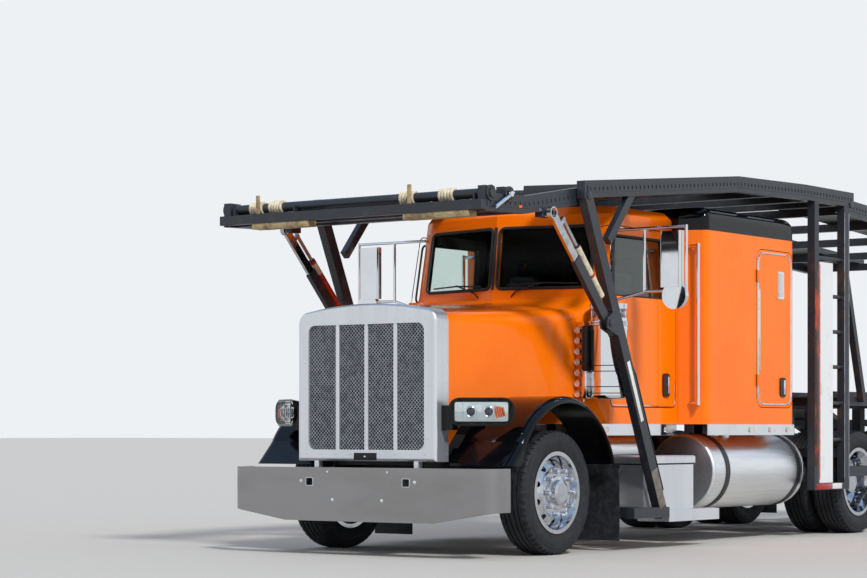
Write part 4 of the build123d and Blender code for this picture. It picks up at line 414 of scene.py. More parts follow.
# Drawn wire that has dulled: grey, with a short soft glint.
wire_steel = surface("stainless_wire_dull", "#B2B4C0", "#8F919C", 40, (0.3, 0.45), Metallic=1.0)
put_on(wires, "grille_wires", wire_steel, "hood", smooth=0)
rivet_rows = [(x * 0.138, z) for x in range(-4, 5) for z in (OPENING[1] - 0.028, OPENING[2] + 0.03)]
rivet_rows += [(side * (OPENING[0] + 0.03), OPENING[1] + 0.085 + 0.19 * step)
               for side in (-1, 1) for step in range(5)]
rivets = copies(button(12, 0.008, 0.003, FORWARD), moved((x, SURROUND_FACE, z) for x, z in rivet_rows))
side_x, side_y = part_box("grille_surround")[1][:2]
side_rivets = copies(button(10, 0.006, 0.003, OUTWARD),
                     moved((side_x, side_y - 0.022, 0.76 + 0.075 * step) for step in range(13)))
put_on(joined(rivets, both_sides(side_rivets)), "grille_rivets", satin_alloy, "hood")


def rounded_box(low, high, rounding):
    """A box between two corners with its edges rounded over."""
    bpy.ops.mesh.primitive_cube_add(size=1, location=[(near + far) / 2 for near, far in zip(low, high)])
    bpy.ops.object.transform_apply()
    piece = bpy.context.object
    bpy.ops.object.mode_set(mode="EDIT")
    bpy.ops.transform.resize(value=[abs(far - near) for near, far in zip(low, high)])
    bpy.ops.mesh.bevel(offset=rounding, segments=2, affect="EDGES")
    bpy.ops.object.mode_set(mode="OBJECT")
    return piece


plate = rounded_box((-0.105, SURROUND_FACE - 0.004, 0.708), (0.105, SURROUND_FACE + 0.001, 0.763), 0.0015)
put_on(plate, "plate_bracket_blank", black_paint_and_painted_depth, "hood")
plate_bolt = button(6, 0.009, 0.004, FORWARD)
plate_bolt.matrix_world = Matrix.Translation((0, SURROUND_FACE - 0.006, 0.735))
put_on(plate_bolt, "plate_bolt", chrome, "hood")

# Hood, fenders and pods: glass-fibre mouldings in orange enamel and in black, under clear
# coat. Each fender ends in a rolled lip over its wheel, and a rubber seal and a bright line
# close the joint between hood and cab.
ENAMEL_GLOSS = {"Coat Weight": 0.28, "Coat Roughness": 0.03, "Specular IOR Level": 0.12}
# Sprayed enamel: a deep, even orange with one sharp highlight along each edge.
orange = surface("cab_enamel_orange", "#FB7502", "#F67003", 700, (0.2, 0.3), **ENAMEL_GLOSS)
dress(orange, "hood")
# Black enamel shows little but what it mirrors.
black = surface("enamel_black_gloss", "#07080A", "#0D0F13", 300, (0.08, 0.2), **ENAMEL_GLOSS)
dress(black, "fenders", "sleeper_roof", "headlamp_pods")
LIP_X = 1.192
LIP_RADIUS = 0.674
arc = [math.radians(angle) for angle in range(18, 163, 4)]
lip = rod_along([(LIP_X, back(LIP_RADIUS * math.cos(turn)), TYRE_RADIUS + LIP_RADIUS * math.sin(turn))
                 for turn in arc], 0.008)
put_on(both_sides(lip), "fender_lips", black, "hood")
# Extruded rubber: a matt black line with no highlight.
weather_strip = surface("rubber_weather_strip", "#141414", "#1E1E1E", 30, (0.55, 0.7))
seam = [(-0.852, 1.16), (-0.852, 1.74), (-0.815, 1.828), (-0.73, 1.866), (-0.38, 1.905), (0, 1.928)]
seam += [(-x, z) for x, z in reversed(seam[:-1])]
seal = rod_along([(x, back(0.641), z) for x, z in seam], 0.005)
put_on(seal, "cowl_seal", weather_strip, "chassis")
crest = rod_along([(x, back(0.652), z + 0.004) for x, z in seam if z > 1.85], 0.007)
put_on(crest, "cowl_bright_line", chrome, "chassis")

# Headlamps: a clear moulded lens over a chromed reflector, two projector lamps in bright
# rings, and slanted amber blades at the outer end, the turn lamp, all set in the pod.
pod_place = Matrix.Translation((0.92, back(-0.745), 1.065)) @ Matrix.Rotation(math.radians(34.02), 4, "Z")
LAMPS = (-0.076, 0.054)
# Clear plastic and pane: no colour, and so thin that it hardly bends what is behind it.
clear = surface("polycarbonate_and_glass_clear", "#F2F7F6", "#EEF4F3", 900, (0.0, 0.01),
                **{"Transmission Weight": 1.0, "IOR": 1.08})
dress(clear, "windshield", "headlamp_lenses")
# Tempered door glass: the faint green of iron, and a firm reflection of the sky.
tinted = surface("glass_tempered_green_tint", "#DFECE6", "#D9E8E0", 900, (0.0, 0.01),
                 **{"Transmission Weight": 1.0, "IOR": 1.45, "Specular IOR Level": 1.0})
dress(tinted, "door_glass_left", "door_glass_right")
circle = [math.tau * step / 24 for step in range(25)]
ring = rod_along([(0.036 * math.cos(turn), -0.004, 0.036 * math.sin(turn)) for turn in circle], 0.006)
rings = copies(ring, [pod_place @ move for move in moved((x, 0, 0) for x in LAMPS)])
put_on(both_sides(rings), "headlamp_rings", chrome, "hood")
bowl = rounded_box((-0.195, 0.024, -0.072), (0.195, 0.032, 0.072), 0.0035)
ribs = [rounded_box((x - 0.003, 0.0, -0.062), (x + 0.003, 0.028, 0.062), 0.0015)
        for x in (-0.14, -0.011, 0.092)]
reflector = copies(joined(bowl, *ribs), [pod_place])
put_on(both_sides(reflector), "headlamp_reflectors", chrome, "hood")


def domed_glass(segments, rings, radius, bulge, middle=(0, 0, 0)):
    """A round glass that bulges front and back by a share of its radius."""
    bpy.ops.mesh.primitive_uv_sphere_add(segments=segments, ring_count=rings, radius=radius, location=middle)
    bpy.ops.object.transform_apply()
    bpy.ops.object.mode_set(mode="EDIT")
    bpy.ops.transform.resize(value=(1, bulge, 1))
    bpy.ops.object.mode_set(mode="OBJECT")
    return bpy.context.object


# Thick dark glass: near black, with a round hard highlight.
projector_glass = surface("projector_glass_dark", "#20262B", "#2A3238", 80, (0.02, 0.05),
                          **{"Coat Weight": 1.0})
bulges = copies(domed_glass(20, 12, 0.031, 0.4),
                [pod_place @ move for move in moved((x, -0.003, 0) for x in LAMPS)])
put_on(both_sides(bulges), "headlamp_projectors", projector_glass, "hood")
# Dyed acrylic: a warm orange all through, glossy on top.
amber = surface("lens_amber_acrylic", "#F0600A", "#DE5508", 30, (0.08, 0.16))
# Clear acrylic with a silvered bowl behind: a pale lamp that glints like foil.
lens_clear = surface("lens_acrylic_clear_silvered", "#DAD6D2", "#C9C4BF", 30, (0.06, 0.12), Metallic=0.6)
dress(lens_clear, "marker_lamps")
blades = []
for x, half in ((0.106, 0.046), (0.125, 0.043), (0.144, 0.039), (0.163, 0.034)):
    blade = rounded_box((x - 0.0065, 0.0, -half), (x + 0.0065, 0.022, half), 0.004)
    bpy.ops.object.mode_set(mode="EDIT")
    bpy.ops.mesh.select_all(action="SELECT")
    bpy.ops.transform.rotate(value=math.radians(12), orient_axis="Y", center_override=(x, 0, 0))
    bpy.ops.object.mode_set(mode="OBJECT")
    blades.append(blade)
turn_lamp = copies(joined(*blades), [pod_place])
put_on(both_sides(turn_lamp), "turn_lamps", amber, "hood")

# Cab and sleeper shells: pressed steel panels, welded, in the same orange enamel outside.
# The faces that look in at the middle of each room carry a glued lining of dark grey trim.
def lined_paint(name, middle):
    """The orange enamel, with a lining on the faces that look towards the middle of the room."""
    material = orange.copy()
    material.name = name
    nodes = material.node_tree.nodes
    place, tint, paint = nodes["Texture Coordinate"], nodes["Color Ramp"], nodes["Principled BSDF"]
    away = add_node(material, "Mapping", {"Location": [-part for part in middle]},
                    {"Vector": (place, "Object")})
    facing = add_node(material, "VectorMath", {"operation": "DOT_PRODUCT"},
                      {0: (away, "Vector"), 1: (place, "Normal")})
    outside = add_node(material, "MapRange", {"From Min": -0.001, "From Max": 0.001},
                       {"Value": (facing, "Value")})
    colour = add_node(material, "MixRGB", {"Color1": linear("#2C2B2B")},
                      {"Fac": (outside, "Result"), "Color2": (tint, "Color")})
    dullness = add_node(material, "MapRange", {"To Min": 0.85, "To Max": 0.2},
                        {"Value": (outside, "Result")})
    coat = add_node(material, "MapRange", {"To Max": ENAMEL_GLOSS["Coat Weight"]},
                    {"Value": (outside, "Result")})
    for source, socket in ((colour.outputs["Color"], "Base Color"), (dullness.outputs["Result"], "Roughness"),
                           (coat.outputs["Result"], "Coat Weight")):
        material.node_tree.links.new(source, paint.inputs[socket])
    return material


cab_paint = lined_paint("cab_enamel_orange_lined", (0, back(1.45), 1.75))
dress(cab_paint, "cab", "cab_roof", "door_left", "door_right")
sleeper_paint = lined_paint("sleeper_enamel_orange_lined", (0, back(2.8), 1.8))
dress(sleeper_paint, "sleeper", "sleeper_hatch_left", "sleeper_hatch_right")

# Windshield: two panes of laminated glass, pressed into black rubber either side of a centre
# strip. Each is swept by a wiper, a bent steel arm with a blade, bolted below the glass.
def glass_y(x, z):
    """The Y of the windshield's outer face, which rakes back to its top and its outer ends."""
    base = 0.712 + 0.213 * x / 0.83
    head = 0.8 + 0.22 * x / 0.8
    return back(base + (head - base) * (z - 1.9) / 0.74)


pane = rounded_loop(((0.032, 2.056), (0.8, 2.056), (0.773, 2.542), (0.032, 2.542)), 0.05)
seals = both_sides(rod_along([(x, glass_y(x, z) - 0.001, z) for x, z in pane], 0.013))
centre = rod_along([(0, glass_y(0, z), z) for z in (2.05, 2.55)], 0.013)
put_on(joined(seals, centre), "windshield_rubber", weather_strip, "chassis")
arm_line = ((0.16, 1.99, 0.006), (0.2, 2.03, 0.022), (0.42, 2.1, 0.024))
arm = rod_along([(x, glass_y(x, z) - off, z) for x, z, off in arm_line], 0.006)
blade_line = ((0.12, 2.08), (0.42, 2.096), (0.7, 2.088))
blade = rod_along([(x, glass_y(x, z) - 0.014, z) for x, z in blade_line], 0.0065)
# Baked powder coat: black with a dull, even sheen.
satin_black = surface("arm_black_powder_coat", "#101113", "#1A1B1D", 60, (0.35, 0.5))
put_on(both_sides(joined(arm, blade)), "wipers", satin_black, "chassis")

# Doors: steel panels with a bright strip along their edges, black rubber round the windows,
# and a rounded black plate with a chromed lever screwed on. The polished mirror heads on
# their tubes hold a flat glass and a round domed one.
def door_x(z):
    """The X of the door's outer face."""
    return 0.976 if z < 1.985 else 0.968 - 0.05 * (z - 1.9) / 0.74


def rounded_plate(inner, outer, low, high, corner):
    """A plate with rounded corners, from one X to another, between two (distance, height) corners."""
    extrude_path([(inner, back(d), z) for d, z in rounded_loop(
        (low, (low[0], high[1]), high, (high[0], low[1])), corner)])
    bpy.ops.mesh.edge_face_add()
    push_out((outer - inner, 0, 0))
    return closed()


def on_each_side(piece, part, name, material):
    """Puts the piece on the left door or hatch, and its mirror image on the right one."""
    for end, place in (("left", Matrix()), ("right", MIRROR)):
        put_on(copies(piece, [place], keep=True), f"{part}_{end}_{name}", material, f"{part}_{end}")
    bpy.data.objects.remove(piece)


# Silver behind glass: a mirror with no tint and no haze.
mirror_silver = surface("mirror_glass_silvered", "#E6E9EC", "#DDE1E5", 400, (0.01, 0.02), Metallic=1.0)
edge = rounded_loop(((0.944, 1.125), (0.944, 1.99), (1.024, 2.53), (1.931, 2.53), (1.931, 1.125)), 0.05)
trim = rod_along([(door_x(z) + 0.001, back(d), z) for d, z in edge], 0.0045)
lever = rounded_box((0.985, back(1.788), 1.226), (1.0, back(1.814), 1.364), 0.006)
on_each_side(joined(trim, lever), "door", "trim", chrome)
handle = rounded_plate(0.974, 0.988, (1.728, 1.2), (1.832, 1.39), 0.036)
on_each_side(handle, "door", "handle", satin_black)
window = rounded_loop(((1.002, 1.99), (1.062, 2.466), (1.828, 2.466), (1.828, 1.99)), 0.045)
window_seal = rod_along([(door_x(z) + 0.001, back(d), z) for d, z in window], 0.009)
on_each_side(window_seal, "door", "window_rubber", weather_strip)
flat = rounded_box((1.377, back(1.0805), 2.048), (1.548, back(1.0832), 2.457), 0.001)
dome = domed_glass(28, 14, 0.097, 0.16, (1.49, back(1.073), 1.97))
on_each_side(joined(flat, dome), "door", "mirror_glass", mirror_silver)

# Inside: a moulded plastic dash, two seats and a bunk. The cushions are woven cloth over
# foam with a sewn welt round each panel, and stand on moulded bases bolted to the floor.
# They take the place of the plain seats of the source.
def cushion(low, high, lean=0):
    """A stuffed cushion with a sunk welt round its faces, leaning back by an angle."""
    piece = rounded_box(low, high, 0.045)
    bpy.ops.object.mode_set(mode="EDIT")
    select_faces(piece, lambda middle, normal: max(abs(normal.y), normal.z) > 0.99)
    bpy.ops.mesh.inset(thickness=0.03, depth=-0.006, use_individual=True)
    bpy.ops.mesh.inset(thickness=0.02, depth=0.014, use_individual=True)
    bpy.ops.mesh.select_all(action="SELECT")
    bpy.ops.transform.rotate(value=math.radians(lean), orient_axis="X",
                             center_override=(0, (low[1] + high[1]) / 2, low[2]))
    bpy.ops.object.mode_set(mode="OBJECT")
    return piece


# Moulded plastic, dark grey and dull. Its grain is drawn at 12 mm, coarser than real, to show.
cab_plastic = surface("dash_plastic_grained", "#26272A", "#303135", 12, (0.55, 0.7), 0.3)
dress(cab_plastic, "dashboard")
# Woven cloth: soft grey flecks. The weave is drawn at 6 mm, coarser than real, so that it shows.
cloth = surface("seat_cloth_woven_grey", "#3A3C42", "#4A4C53", 6, (0.85, 0.95), 0.5)
SEAT_X = 0.45
pads = [cushion((SEAT_X - 0.25, back(1.335), 1.36), (SEAT_X + 0.25, back(1.79), 1.555)),
        cushion((SEAT_X - 0.25, back(1.74), 1.42), (SEAT_X + 0.25, back(1.855), 2.03), -5),
        cushion((SEAT_X - 0.14, back(1.81), 2.05), (SEAT_X + 0.14, back(1.91), 2.23))]
seats = put_on(both_sides(joined(*pads)), "seat_cushions", cloth, "chassis")
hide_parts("seats")
bed = cushion((-1.06, back(2.71), 1.25), (1.06, back(3.52), 1.415))
mattress = put_on(bed, "bunk_mattress", cloth, "chassis")
bases = both_sides(rounded_box((SEAT_X - 0.18, back(1.4), 1.03), (SEAT_X + 0.18, back(1.76), 1.362), 0.02))
bunk_base = rounded_box((-0.9, back(2.77), 1.03), (0.9, back(3.47), 1.252), 0.02)
put_on(joined(bases, bunk_base), "seat_and_bunk_bases", cab_plastic, "chassis")

# Grab rails: a tall tube of polished stainless steel stands at each front corner of the
# sleeper. It is bolted on through a short round foot at each end.
feet = [rod_along([(1.165, back(1.975), z), (1.075, back(2.0), z)], 0.0145) for z in (1.152, 2.428)]
put_on(both_sides(joined(*feet)), "grab_rail_feet", stainless, "chassis")

# Sleeper hatches: pressed steel lids in a bright rounded frame, hung on a hinge strip at
# their front edge. Each carries an upright oblong lamp in a bezel, and a rounded black
# latch plate with a chromed lever.
SLEEPER_SIDE = 1.2
lid = rounded_loop(((2.93, 1.15), (2.93, 2.43), (3.52, 2.43), (3.52, 1.15)), 0.11)
lid_frame = rod_along([(SLEEPER_SIDE, back(d), z) for d, z in lid], 0.008)
bezel = rounded_plate(SLEEPER_SIDE - 0.002, SLEEPER_SIDE + 0.006, (3.27, 2.05), (3.385, 2.285), 0.02)
lever = rounded_box((SLEEPER_SIDE + 0.009, back(3.36), 1.235),
                    (SLEEPER_SIDE + 0.02, back(3.392), 1.36), 0.004)
hinge_strip = rounded_box((SLEEPER_SIDE - 0.001, back(2.928), 1.44),
                          (SLEEPER_SIDE + 0.01, back(2.954), 2.12), 0.003)
on_each_side(joined(lid_frame, bezel, lever, hinge_strip), "hatch", "frame", chrome)
latch = rounded_plate(SLEEPER_SIDE - 0.002, SLEEPER_SIDE + 0.012, (3.31, 1.215), (3.41, 1.38), 0.034)
on_each_side(latch, "hatch", "latch", satin_black)
lens = rounded_plate(SLEEPER_SIDE + 0.002, SLEEPER_SIDE + 0.012, (3.287, 2.07), (3.368, 2.265), 0.014)
on_each_side(lens, "hatch", "lamp", lens_clear)

# Air cleaners and lamp strips: a stainless canister with upright fins round its intake,
# rubber seals between its bands, clamps near its top, and a ribbed plastic duct to the cowl.
# Beside it an orange plate on the cowl carries seven bullet lamps in bright cups.
CLEANER = (1.068, back(0.762))
BAND_RADIUS = 0.1475
FINS = 40
fin = rounded_box((-0.009, -0.0015, 1.797), (0.009, 0.0015, 1.862), 0.0008)
fins = copies(fin, [Matrix.Translation((*CLEANER, 0)) @ Matrix.Rotation(math.tau * turn / FINS, 4, "Z")
                    @ Matrix.Translation((0.126, 0, 0)) for turn in range(FINS)])
put_on(both_sides(fins), "air_cleaner_fins", chrome, "chassis")
band = [(CLEANER[0] + BAND_RADIUS * math.cos(math.tau * step / 36),
         CLEANER[1] + BAND_RADIUS * math.sin(math.tau * step / 36)) for step in range(37)]
for name, material, slot, thickness, heights in (
        ("seals", weather_strip, "flap_rubber", 0.0035, (1.216, 1.265, 1.384, 1.428)),
        ("clamps", chrome, "polished_steel", 0.011, (1.742, 1.76))):
    hoops = [rod_along([(x, y, z) for x, y in band], thickness) for z in heights]
    put_on(both_sides(joined(*hoops)), f"air_cleaner_{name}", material, "chassis")
duct = rounded_box((0.926, back(0.6), 1.395), (0.962, back(0.69), 1.735), 0.004)
rib = rounded_box((0.924, back(0.597), 1.4), (0.964, back(0.604), 1.408), 0.001)
ribs = copies(rib, moved((0, 0, 0.0165 * step) for step in range(20)))
put_on(both_sides(joined(duct, ribs)), "intake_ducts", satin_black, "chassis")
elbow = rounded_box((0.922, back(0.598), 1.175), (0.966, back(0.69), 1.388), 0.008)
put_on(both_sides(elbow), "intake_elbows", stainless, "chassis")
strip = rounded_box((0.853, back(0.632), 1.146), (0.917, back(0.6385), 1.766), 0.003)
put_on(both_sides(strip), "lamp_strip_plates", orange, "chassis")
# Lays along the truck what was spun round the X axis.
ALONG = Matrix.Rotation(math.radians(90), 4, "Z")
cup = spun([(-0.018, 0.0243), (-0.018, 0.0262), (0.012, 0.0275), (0.014, 0.031), (0.017, 0.031),
            (0.017, 0.0243)], 24)
cups = copies(cup, [Matrix.Translation((0.884, back(0.614), 1.21 + 0.082 * step)) @ ALONG
                    for step in range(7)])
put_on(both_sides(cups), "bullet_lamp_cups", chrome, "chassis")

# Tanks and battery boxes: aluminium sheet, rolled or folded and welded, and strapped to the
# rails. Each tank has a rolled seam near either end and a screwed filler cap, each box a
# rubber gasket under its cover, and the step below it pressed grip studs.
TANK_X = 0.88
# Brushed along its length: pale, with lines that spread each highlight crosswise. They are
# drawn 30 mm wide, coarser than real, so that they show.
brushed = surface("aluminium_brushed_along", "#ECEEF0", "#E2E5E8", 30, (0.3, 0.38),
                  stretch=(1, 0.06, 1), Metallic=1.0)
dress(brushed, "tanks")
tank_seam = spun([(-0.008, 0.309), (-0.008, 0.3125), (0.008, 0.3125), (0.008, 0.309)], 72)
seams = copies(tank_seam, [Matrix.Translation((TANK_X, back(d), 0.59)) @ ALONG for d in (2.235, 3.765)])
cap_place = Matrix.Translation((0.975, back(2.75), 0.893)) @ Matrix.Rotation(math.radians(-73), 4, "Y")
cap = copies(button(20, 0.046, 0.034, OUTWARD), [cap_place])
put_on(both_sides(joined(seams, cap)), "tank_seams_and_caps", brushed, "chassis")
gasket = rod_along([(x, back(d), 0.664) for x, d in ((0.9, 1.08), (1.19, 1.08), (1.19, 1.86), (0.9, 1.86))],
                   0.006)
put_on(both_sides(gasket), "battery_box_gaskets", weather_strip, "chassis")
studs = copies(button(8, 0.009, 0.003, (0, 0, 0)),
               moved((x, back(1.335 + 0.048 * step), 0.3025)
                     for x in (1.218, 1.243, 1.268) for step in range(16)))
put_on(both_sides(studs), "step_grip_studs", satin_alloy, "chassis")

# Rack and decks: welded steel in dark paint that has rubbed and rusted, with white ladders
# and dark grips on their rungs. Holed strips for the chain hooks are welded along the rails,
# and capped pins hold the moving decks.
HOLE_PITCH = 0.06
RACK_FACE = 1.2955
DECK_FACE = 1.2152
# Dark paint over welded steel, brown at the rubs and blistered by rust.
rack_steel = surface("rack_steel_dark_paint", "#23272E", "#433E3A", 130, (0.38, 0.68), 0.6,
                     patch=(0.55, 0.72))
dress(rack_steel, "rack_legs", "cab_deck", "front_deck", "rear_deck", "strut_sleeves", "rear_lift_barrels")
# The same paint where chains beat on it, rusted through in large flat patches.
post_steel = surface("post_steel_rusted_paint", "#26292F", "#4A3226", 170, (0.5, 0.8), 0.8,
                     patch=(0.54, 0.68))
dress(post_steel, "rack_posts", "lower_deck")
# Brushed-on white, yellowed and scuffed where feet go.
white = surface("white_paint_on_steel", "#DADBDA", "#BDB7AC", 120, (0.35, 0.5), 0.3, patch=(0.58, 0.8))
dress(white, "ladders")
# Ground and plated hard: a grey mirror under an oil film.
ram = surface("hard_chrome_ram", "#B9BCC0", "#9FA2A6", 90, (0.12, 0.25), Metallic=1.0)
dress(ram, "strut_rods", "rear_lift_rods")
rungs = ((0.85, 4.152), (1.17, 4.152), (1.49, 4.152), (1.8, 4.152), (2.11, 4.152), (2.44, 3.864))
grips = [rod_along([(1.26, back(near), z), (1.26, back(4.347), z)], 0.0175) for z, near in rungs]
put_on(both_sides(joined(*grips)), "rung_grips", rack_steel, "chassis")
rail_strips = (
    ("cab_deck", "chassis", RACK_FACE, ((0.1, 2.726), (2.42, 2.955), (3.61, 2.985), (4.5, 2.985))),
    ("front_deck", "front_deck", DECK_FACE, ((-1.1, 2.5456), (-0.6, 2.56), (0.03, 2.664))),
    ("rear_deck", "rear_deck", DECK_FACE, ((4.6, 2.9344), (8.48, 2.7012))),
)
for name, body, x, line in rail_strips:
    parts = []
    for (near, low), (far, high) in zip(line, line[1:]):
        length = math.hypot(far - near, high - low)
        holes = round(length / HOLE_PITCH)
        bpy.ops.mesh.primitive_grid_add(x_subdivisions=holes, y_subdivisions=1, size=1)
        bpy.ops.object.mode_set(mode="EDIT")
        bpy.ops.transform.resize(value=(length, 0.056, 1))
        bpy.ops.mesh.inset(thickness=0.014, use_individual=True)
        bpy.ops.mesh.delete(type="FACE")
        bpy.ops.mesh.select_all(action="SELECT")
        push_out((0, 0, 0.0035))
        turned = Matrix.Rotation(math.atan2(high - low, far - near), 4, "X") @ Matrix(
            ((0, 0, 1, 0), (1, 0, 0, 0), (0, 1, 0, 0), (0, 0, 0, 1)))
        place = Matrix.Translation((x, back((near + far) / 2), (low + high) / 2)) @ turned
        parts.append(copies(closed(), [place]))
    put_on(both_sides(joined(*parts)), f"{name}_holed_strips", rack_steel, body, smooth=0)
pins = ((0.12, 2.68, 0.036), (4.48, 2.942, 0.036), (0.43, 1.74, 0.03), (7.2, 0.7, 0.03))
heads = [copies(button(6, radius, 0.008, OUTWARD), moved([(RACK_FACE + 0.0015, back(d), z)]))
         for d, z, radius in pins]
put_on(both_sides(joined(*heads)), "rack_pin_heads", rack_steel, "chassis")

# Lifting cylinders: a painted steel barrel beside each strut, bolted to its sleeve. The near
# one is cream with a red band, the far one red with a cream band. Cream webbing is wound
# tight on the rollers of the deck that they lift.
ROLLERS = ((-1.06, 2.6117), (-0.83, 2.6184))
# One length up the strut, and one square to it, away from it.
ALONG_STRUT = Vector((0, -0.6979, 0.7162))
OFF_STRUT = Vector((0, 0.7162, 0.6979))
foot = Vector((1.26, back(0.43), 1.74)) + OFF_STRUT * 0.078
# Polyester webbing and old paint: a flat yellowish white.
cream = surface("webbing_and_paint_cream", "#D9CDB2", "#B8A98A", 50, (0.55, 0.75), 0.2)
# Oil-stained red paint, darker where hands and hoses touch it.
lift_red = surface("lift_cylinder_red_paint", "#B8321A", "#8E2A18", 60, (0.35, 0.55), 0.2)
barrel_rows = (("near_cream", cream, 1, ((0.205, 0.4), (0.425, 0.695))),
               ("near_red", lift_red, 1, ((0.4, 0.425),)),
               ("far_cream", cream, -1, ((0.56, 0.67),)),
               ("far_red", lift_red, -1, ((0.205, 0.56), (0.67, 0.695))))
for name, paint, side, lengths in barrel_rows:
    place = Matrix(((0, 1, 0, foot.x * side), (ALONG_STRUT.y, 0, ALONG_STRUT.z, foot.y),
                    (ALONG_STRUT.z, 0, -ALONG_STRUT.y, foot.z), (0, 0, 0, 1)))
    shells = [copies(spun([(start, 0.026), (start, 0.0288), (end, 0.0288), (end, 0.026)], 28), [place])
              for start, end in lengths]
    put_on(joined(*shells), f"lift_cylinder_{name}", paint, "strut_sleeves")
winding = spun([(-0.011, 0.034), (-0.011, 0.046), (-0.006, 0.051), (0.006, 0.051), (0.011, 0.046),
                (0.011, 0.034)], 28)
windings = copies(winding, moved((x + 0.026 * turn, back(d), z) for x in (-0.97, -0.78, 0.45, 0.8)
                                 for d, z in ROLLERS for turn in range(5)))
put_on(windings, "roller_webbing", cream, "front_deck")

# Nose of the front deck: a steel ratchet wheel with a ring of holes is pinned to each roller
# end, and a bar tightens it on the near side. Slotted tan wheel stops with upright strap
# guides are welded below, and small amber lamps mark the nose and its corners.
RATCHET_SIDES = 20
wheel = cylinder(RATCHET_SIDES, 0.056, 0.014, OUTWARD)
select_faces(wheel, lambda middle, normal: normal.x > 0.9)
bpy.ops.mesh.inset(thickness=0.006)
bpy.ops.mesh.inset(thickness=0.02)
push_out((0.01, 0, 0))
select_faces(wheel, lambda middle, normal: normal.x > 0.9 and 0.03 < math.hypot(middle.y, middle.z) < 0.048
             and round(math.degrees(math.atan2(middle.z, middle.y)) / (360 / RATCHET_SIDES) - 0.5) % 2 == 0)
bpy.ops.mesh.inset(thickness=0.0025, use_individual=True)
push_out((-0.011, 0, 0))
bpy.ops.object.mode_set(mode="OBJECT")
wheels = copies(wheel, moved((1.2215, back(d), z) for d, z in ROLLERS))
put_on(both_sides(wheels), "roller_ratchets", rack_steel, "front_deck", smooth=0)
tighteners = [rod_along([(1.238, back(-1.02), 2.513), (1.238, back(-0.8), 2.63)], 0.013),
              rod_along([(1.216, back(-0.83), 2.6184), (1.25, back(-0.83), 2.6184)], 0.02)]
put_on(joined(*tighteners), "ratchet_bar", chrome, "front_deck")
# Sand-coloured paint under road dust: flat and earthy.
tan = surface("wheel_stop_tan_paint_dusty", "#A8946C", "#7D6A4B", 90, (0.55, 0.8), 0.4)
SLOT_PITCH = 0.09
stops = []
for low, high in ((-0.9, -0.36), (0.52, 1.1)):
    stops.append(rounded_box((low, back(-1.166), 2.446), (high, back(-1.06), 2.4905), 0.004))
    for step in range(int((high - low) / SLOT_PITCH)):
        start = low + 0.035 + SLOT_PITCH * step
        stops.append(rounded_box((start, back(-1.1685), 2.461), (start + 0.05, back(-1.163), 2.4665), 0.001))
    stops.append(rounded_box((low + 0.04, back(-1.166), 2.5595), (low + 0.072, back(-1.15), 2.7), 0.004))
put_on(joined(*stops), "wheel_stops", tan, "front_deck")
lamps = [rounded_box((x - 0.016, back(-1.1695), 2.512), (x + 0.016, back(-1.16), 2.53), 0.004)
         for x in (0.12, 0.33)]
corner_lamp = rounded_box((1.214, back(-0.7), 2.53), (1.223, back(-0.665), 2.55), 0.003)
put_on(joined(*lamps, both_sides(corner_lamp)), "deck_marker_lamps", amber, "front_deck")

# Leg pipes: a thin steel pipe, painted black, takes the lift's oil up each leg of the rack.
# It is bent to follow the leg and clamped to its outer face.
pipe = rod_along([(1.26, back(0.52), 1.7), (1.26, back(0.7), 1.55), (1.262, back(0.84), 1.36),
                  (1.262, back(1.25), 0.47), (1.2, back(1.32), 0.4)], 0.008)
put_on(both_sides(pipe), "lift_pipes", satin_black, "chassis")

# Reflective tape and leg shoes: red and white lengths are stuck along the low brackets and a
# pale one on each leg. A grey plate, scuffed by the road, is screwed on at each leg's foot.
leg_turn = Matrix.Rotation(-math.atan2(2.43, 1.11), 4, "X")
# Glossy red, for the tape's beads and the tail lamps' acrylic alike.
red = surface("lens_and_tape_red", "#A50F0F", "#8A0C0C", 30, (0.1, 0.2))
dress(red, "tail_lamps")
# Beaded film: an even white with a faint sheen.
tape_white = surface("tape_white_reflective", "#DADBD6", "#C4C5C0", 20, (0.2, 0.35))
tape = rounded_box((-0.0008, -0.25, -0.021), (0.0008, 0.25, 0.021), 0.0005)
tape = copies(tape, [Matrix.Translation((1.2958, back(0.784), 1.228)) @ leg_turn])
put_on(both_sides(tape), "leg_tape", tape_white, "chassis")
# Old grey paint, warm and chalky where it has worn thin.
worn_grey = surface("leg_shoe_worn_grey_paint", "#6F685F", "#585049", 70, (0.5, 0.7), 0.3)
shoe = rounded_box((-0.0012, -0.16, -0.048), (0.0012, 0.16, 0.048), 0.001)
shoe = copies(shoe, [Matrix.Translation((1.2965, back(1.13), 0.478)) @ leg_turn])
put_on(both_sides(shoe), "leg_shoes", worn_grey, "chassis")
for name, paint, slot, start, end in (("red", red, "red_lens", 3.82, 4.12),
                                      ("white", tape_white, "white_paint", 4.121, 4.305)):
    length = rounded_box((1.2945, back(start), 0.416), (1.2962, back(end), 0.464), 0.0006)
    put_on(both_sides(length), f"bracket_tape_{name}", paint, "chassis")

# Posts: welded steel that has been patched up. Each first post has a strip of red-brown
# primer with the old orange showing through, the white plank a faded pink tape along its
# edge, and chains have rubbed the second post's edges bare.
POST_FACE = 1.2905
# Brushed-on primer: a dull brown that lets the orange below it through in clear-cut patches.
primer = surface("post_primer_red_brown", "#32130E", "#C8480F", 320, (0.45, 0.7), 0.2,
                 stretch=(1, 1, 0.45), patch=(0.56, 0.64))
# Red film bleached pink by the sun.
faded = surface("tape_red_faded_pink", "#E58A75", "#C96450", 60, (0.4, 0.55))
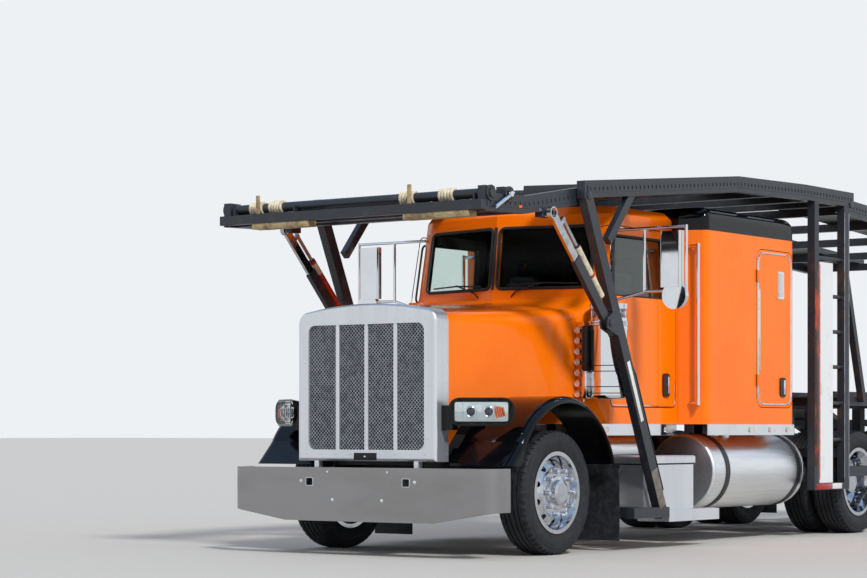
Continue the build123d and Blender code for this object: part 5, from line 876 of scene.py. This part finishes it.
# Bare steel, rubbed bright and greying again.
rubbed = surface("post_edge_rubbed_steel", "#7E8388", "#5B5F65", 80, (0.4, 0.6), 0.2)
post_rows = (
    ("post_primer_strips", primer, "rack_paint", POST_FACE, ((3.787, 3.853, 0.62, 2.32),)),
    ("plank_edge_tape", faded, "red_lens", POST_FACE - 0.012, ((3.899, 3.912, 0.5, 2.38),)),
    ("post_rubbed_edges", rubbed, "rack_paint", POST_FACE,
     ((4.351, 4.364, 0.5, 2.86), (4.436, 4.449, 0.5, 2.86))),
)
for name, paint, slot, x, places in post_rows:
    parts = [rounded_box((x, back(near), low), (x + 0.006, back(far), high), 0.001)
             for near, far, low, high in places]
    put_on(both_sides(joined(*parts)), name, paint, "chassis")

# The studio: a pale concrete floor, one soft sun ahead of the near side, and an even sky.
# What metal and glass mirror, and what stands behind, is a haze from white up to blue.
bpy.ops.mesh.primitive_plane_add(size=400, location=(0, 0, 0))
floor = bpy.context.object
floor.name = "studio_floor"
floor_paint = bpy.data.materials.new("floor_pale_concrete")
floor_paint.use_nodes = True
sockets = floor_paint.node_tree.nodes["Principled BSDF"].inputs
sockets["Base Color"].default_value = linear("#BDB9B2")
sockets["Roughness"].default_value = 0.9
floor.data.materials.append(floor_paint)

sky = bpy.data.worlds.new("studio_sky")
bpy.context.scene.world = sky
sky.use_nodes = True
sky.node_tree.nodes.clear()
ray = add_node(sky, "LightPath", {}, {})
seen = add_node(sky, "Math", {"operation": "MAXIMUM"},
                {0: (ray, "Is Camera Ray"), 1: (ray, "Is Transmission Ray")})
mirrored = add_node(sky, "Math", {"operation": "MAXIMUM"},
                    {0: (seen, "Value"), 1: (ray, "Is Glossy Ray")})
compass = add_node(sky, "TexCoord", {}, {})
height = add_node(sky, "SeparateXYZ", {}, {"Vector": (compass, "Generated")})
haze = add_node(sky, "ValToRGB", {}, {"Fac": (height, "Z")})
for element, position, code in zip(haze.color_ramp.elements, (0.3, 0.75), ("#EEF1F4", "#9DBCE4")):
    element.position = position
    element.color = linear(code)
light = add_node(sky, "Background", {"Color": linear("#E8F0FF"), "Strength": 0.75}, {})
plain = add_node(sky, "Background", {"Strength": 1.0}, {"Color": (haze, "Color")})
blend = add_node(sky, "MixShader", {},
                 {0: (mirrored, "Value"), 1: (light, "Background"), 2: (plain, "Background")})
add_node(sky, "OutputWorld", {}, {"Surface": (blend, "Shader")})

bpy.ops.object.light_add(type="SUN", rotation=(math.radians(48), 0, math.radians(62)))
sun = bpy.context.object
sun.data.energy = 2.6
sun.data.angle = math.radians(9)

# Camera: a long lens some twenty-one metres off, low and ahead of the near side. It looks
# level and is shifted up, so that what is upright on the truck stays upright.
bpy.ops.object.camera_add(location=(10.87, -18.695, 0.93), rotation=(math.radians(90), 0, math.radians(36)))
camera = bpy.context.object
camera.data.sensor_width = 36
camera.data.lens = 99.7
camera.data.shift_y = 0.163
camera.data.clip_end = 600
bpy.context.scene.camera = camera
bpy.context.scene.view_settings.view_transform = "Standard"
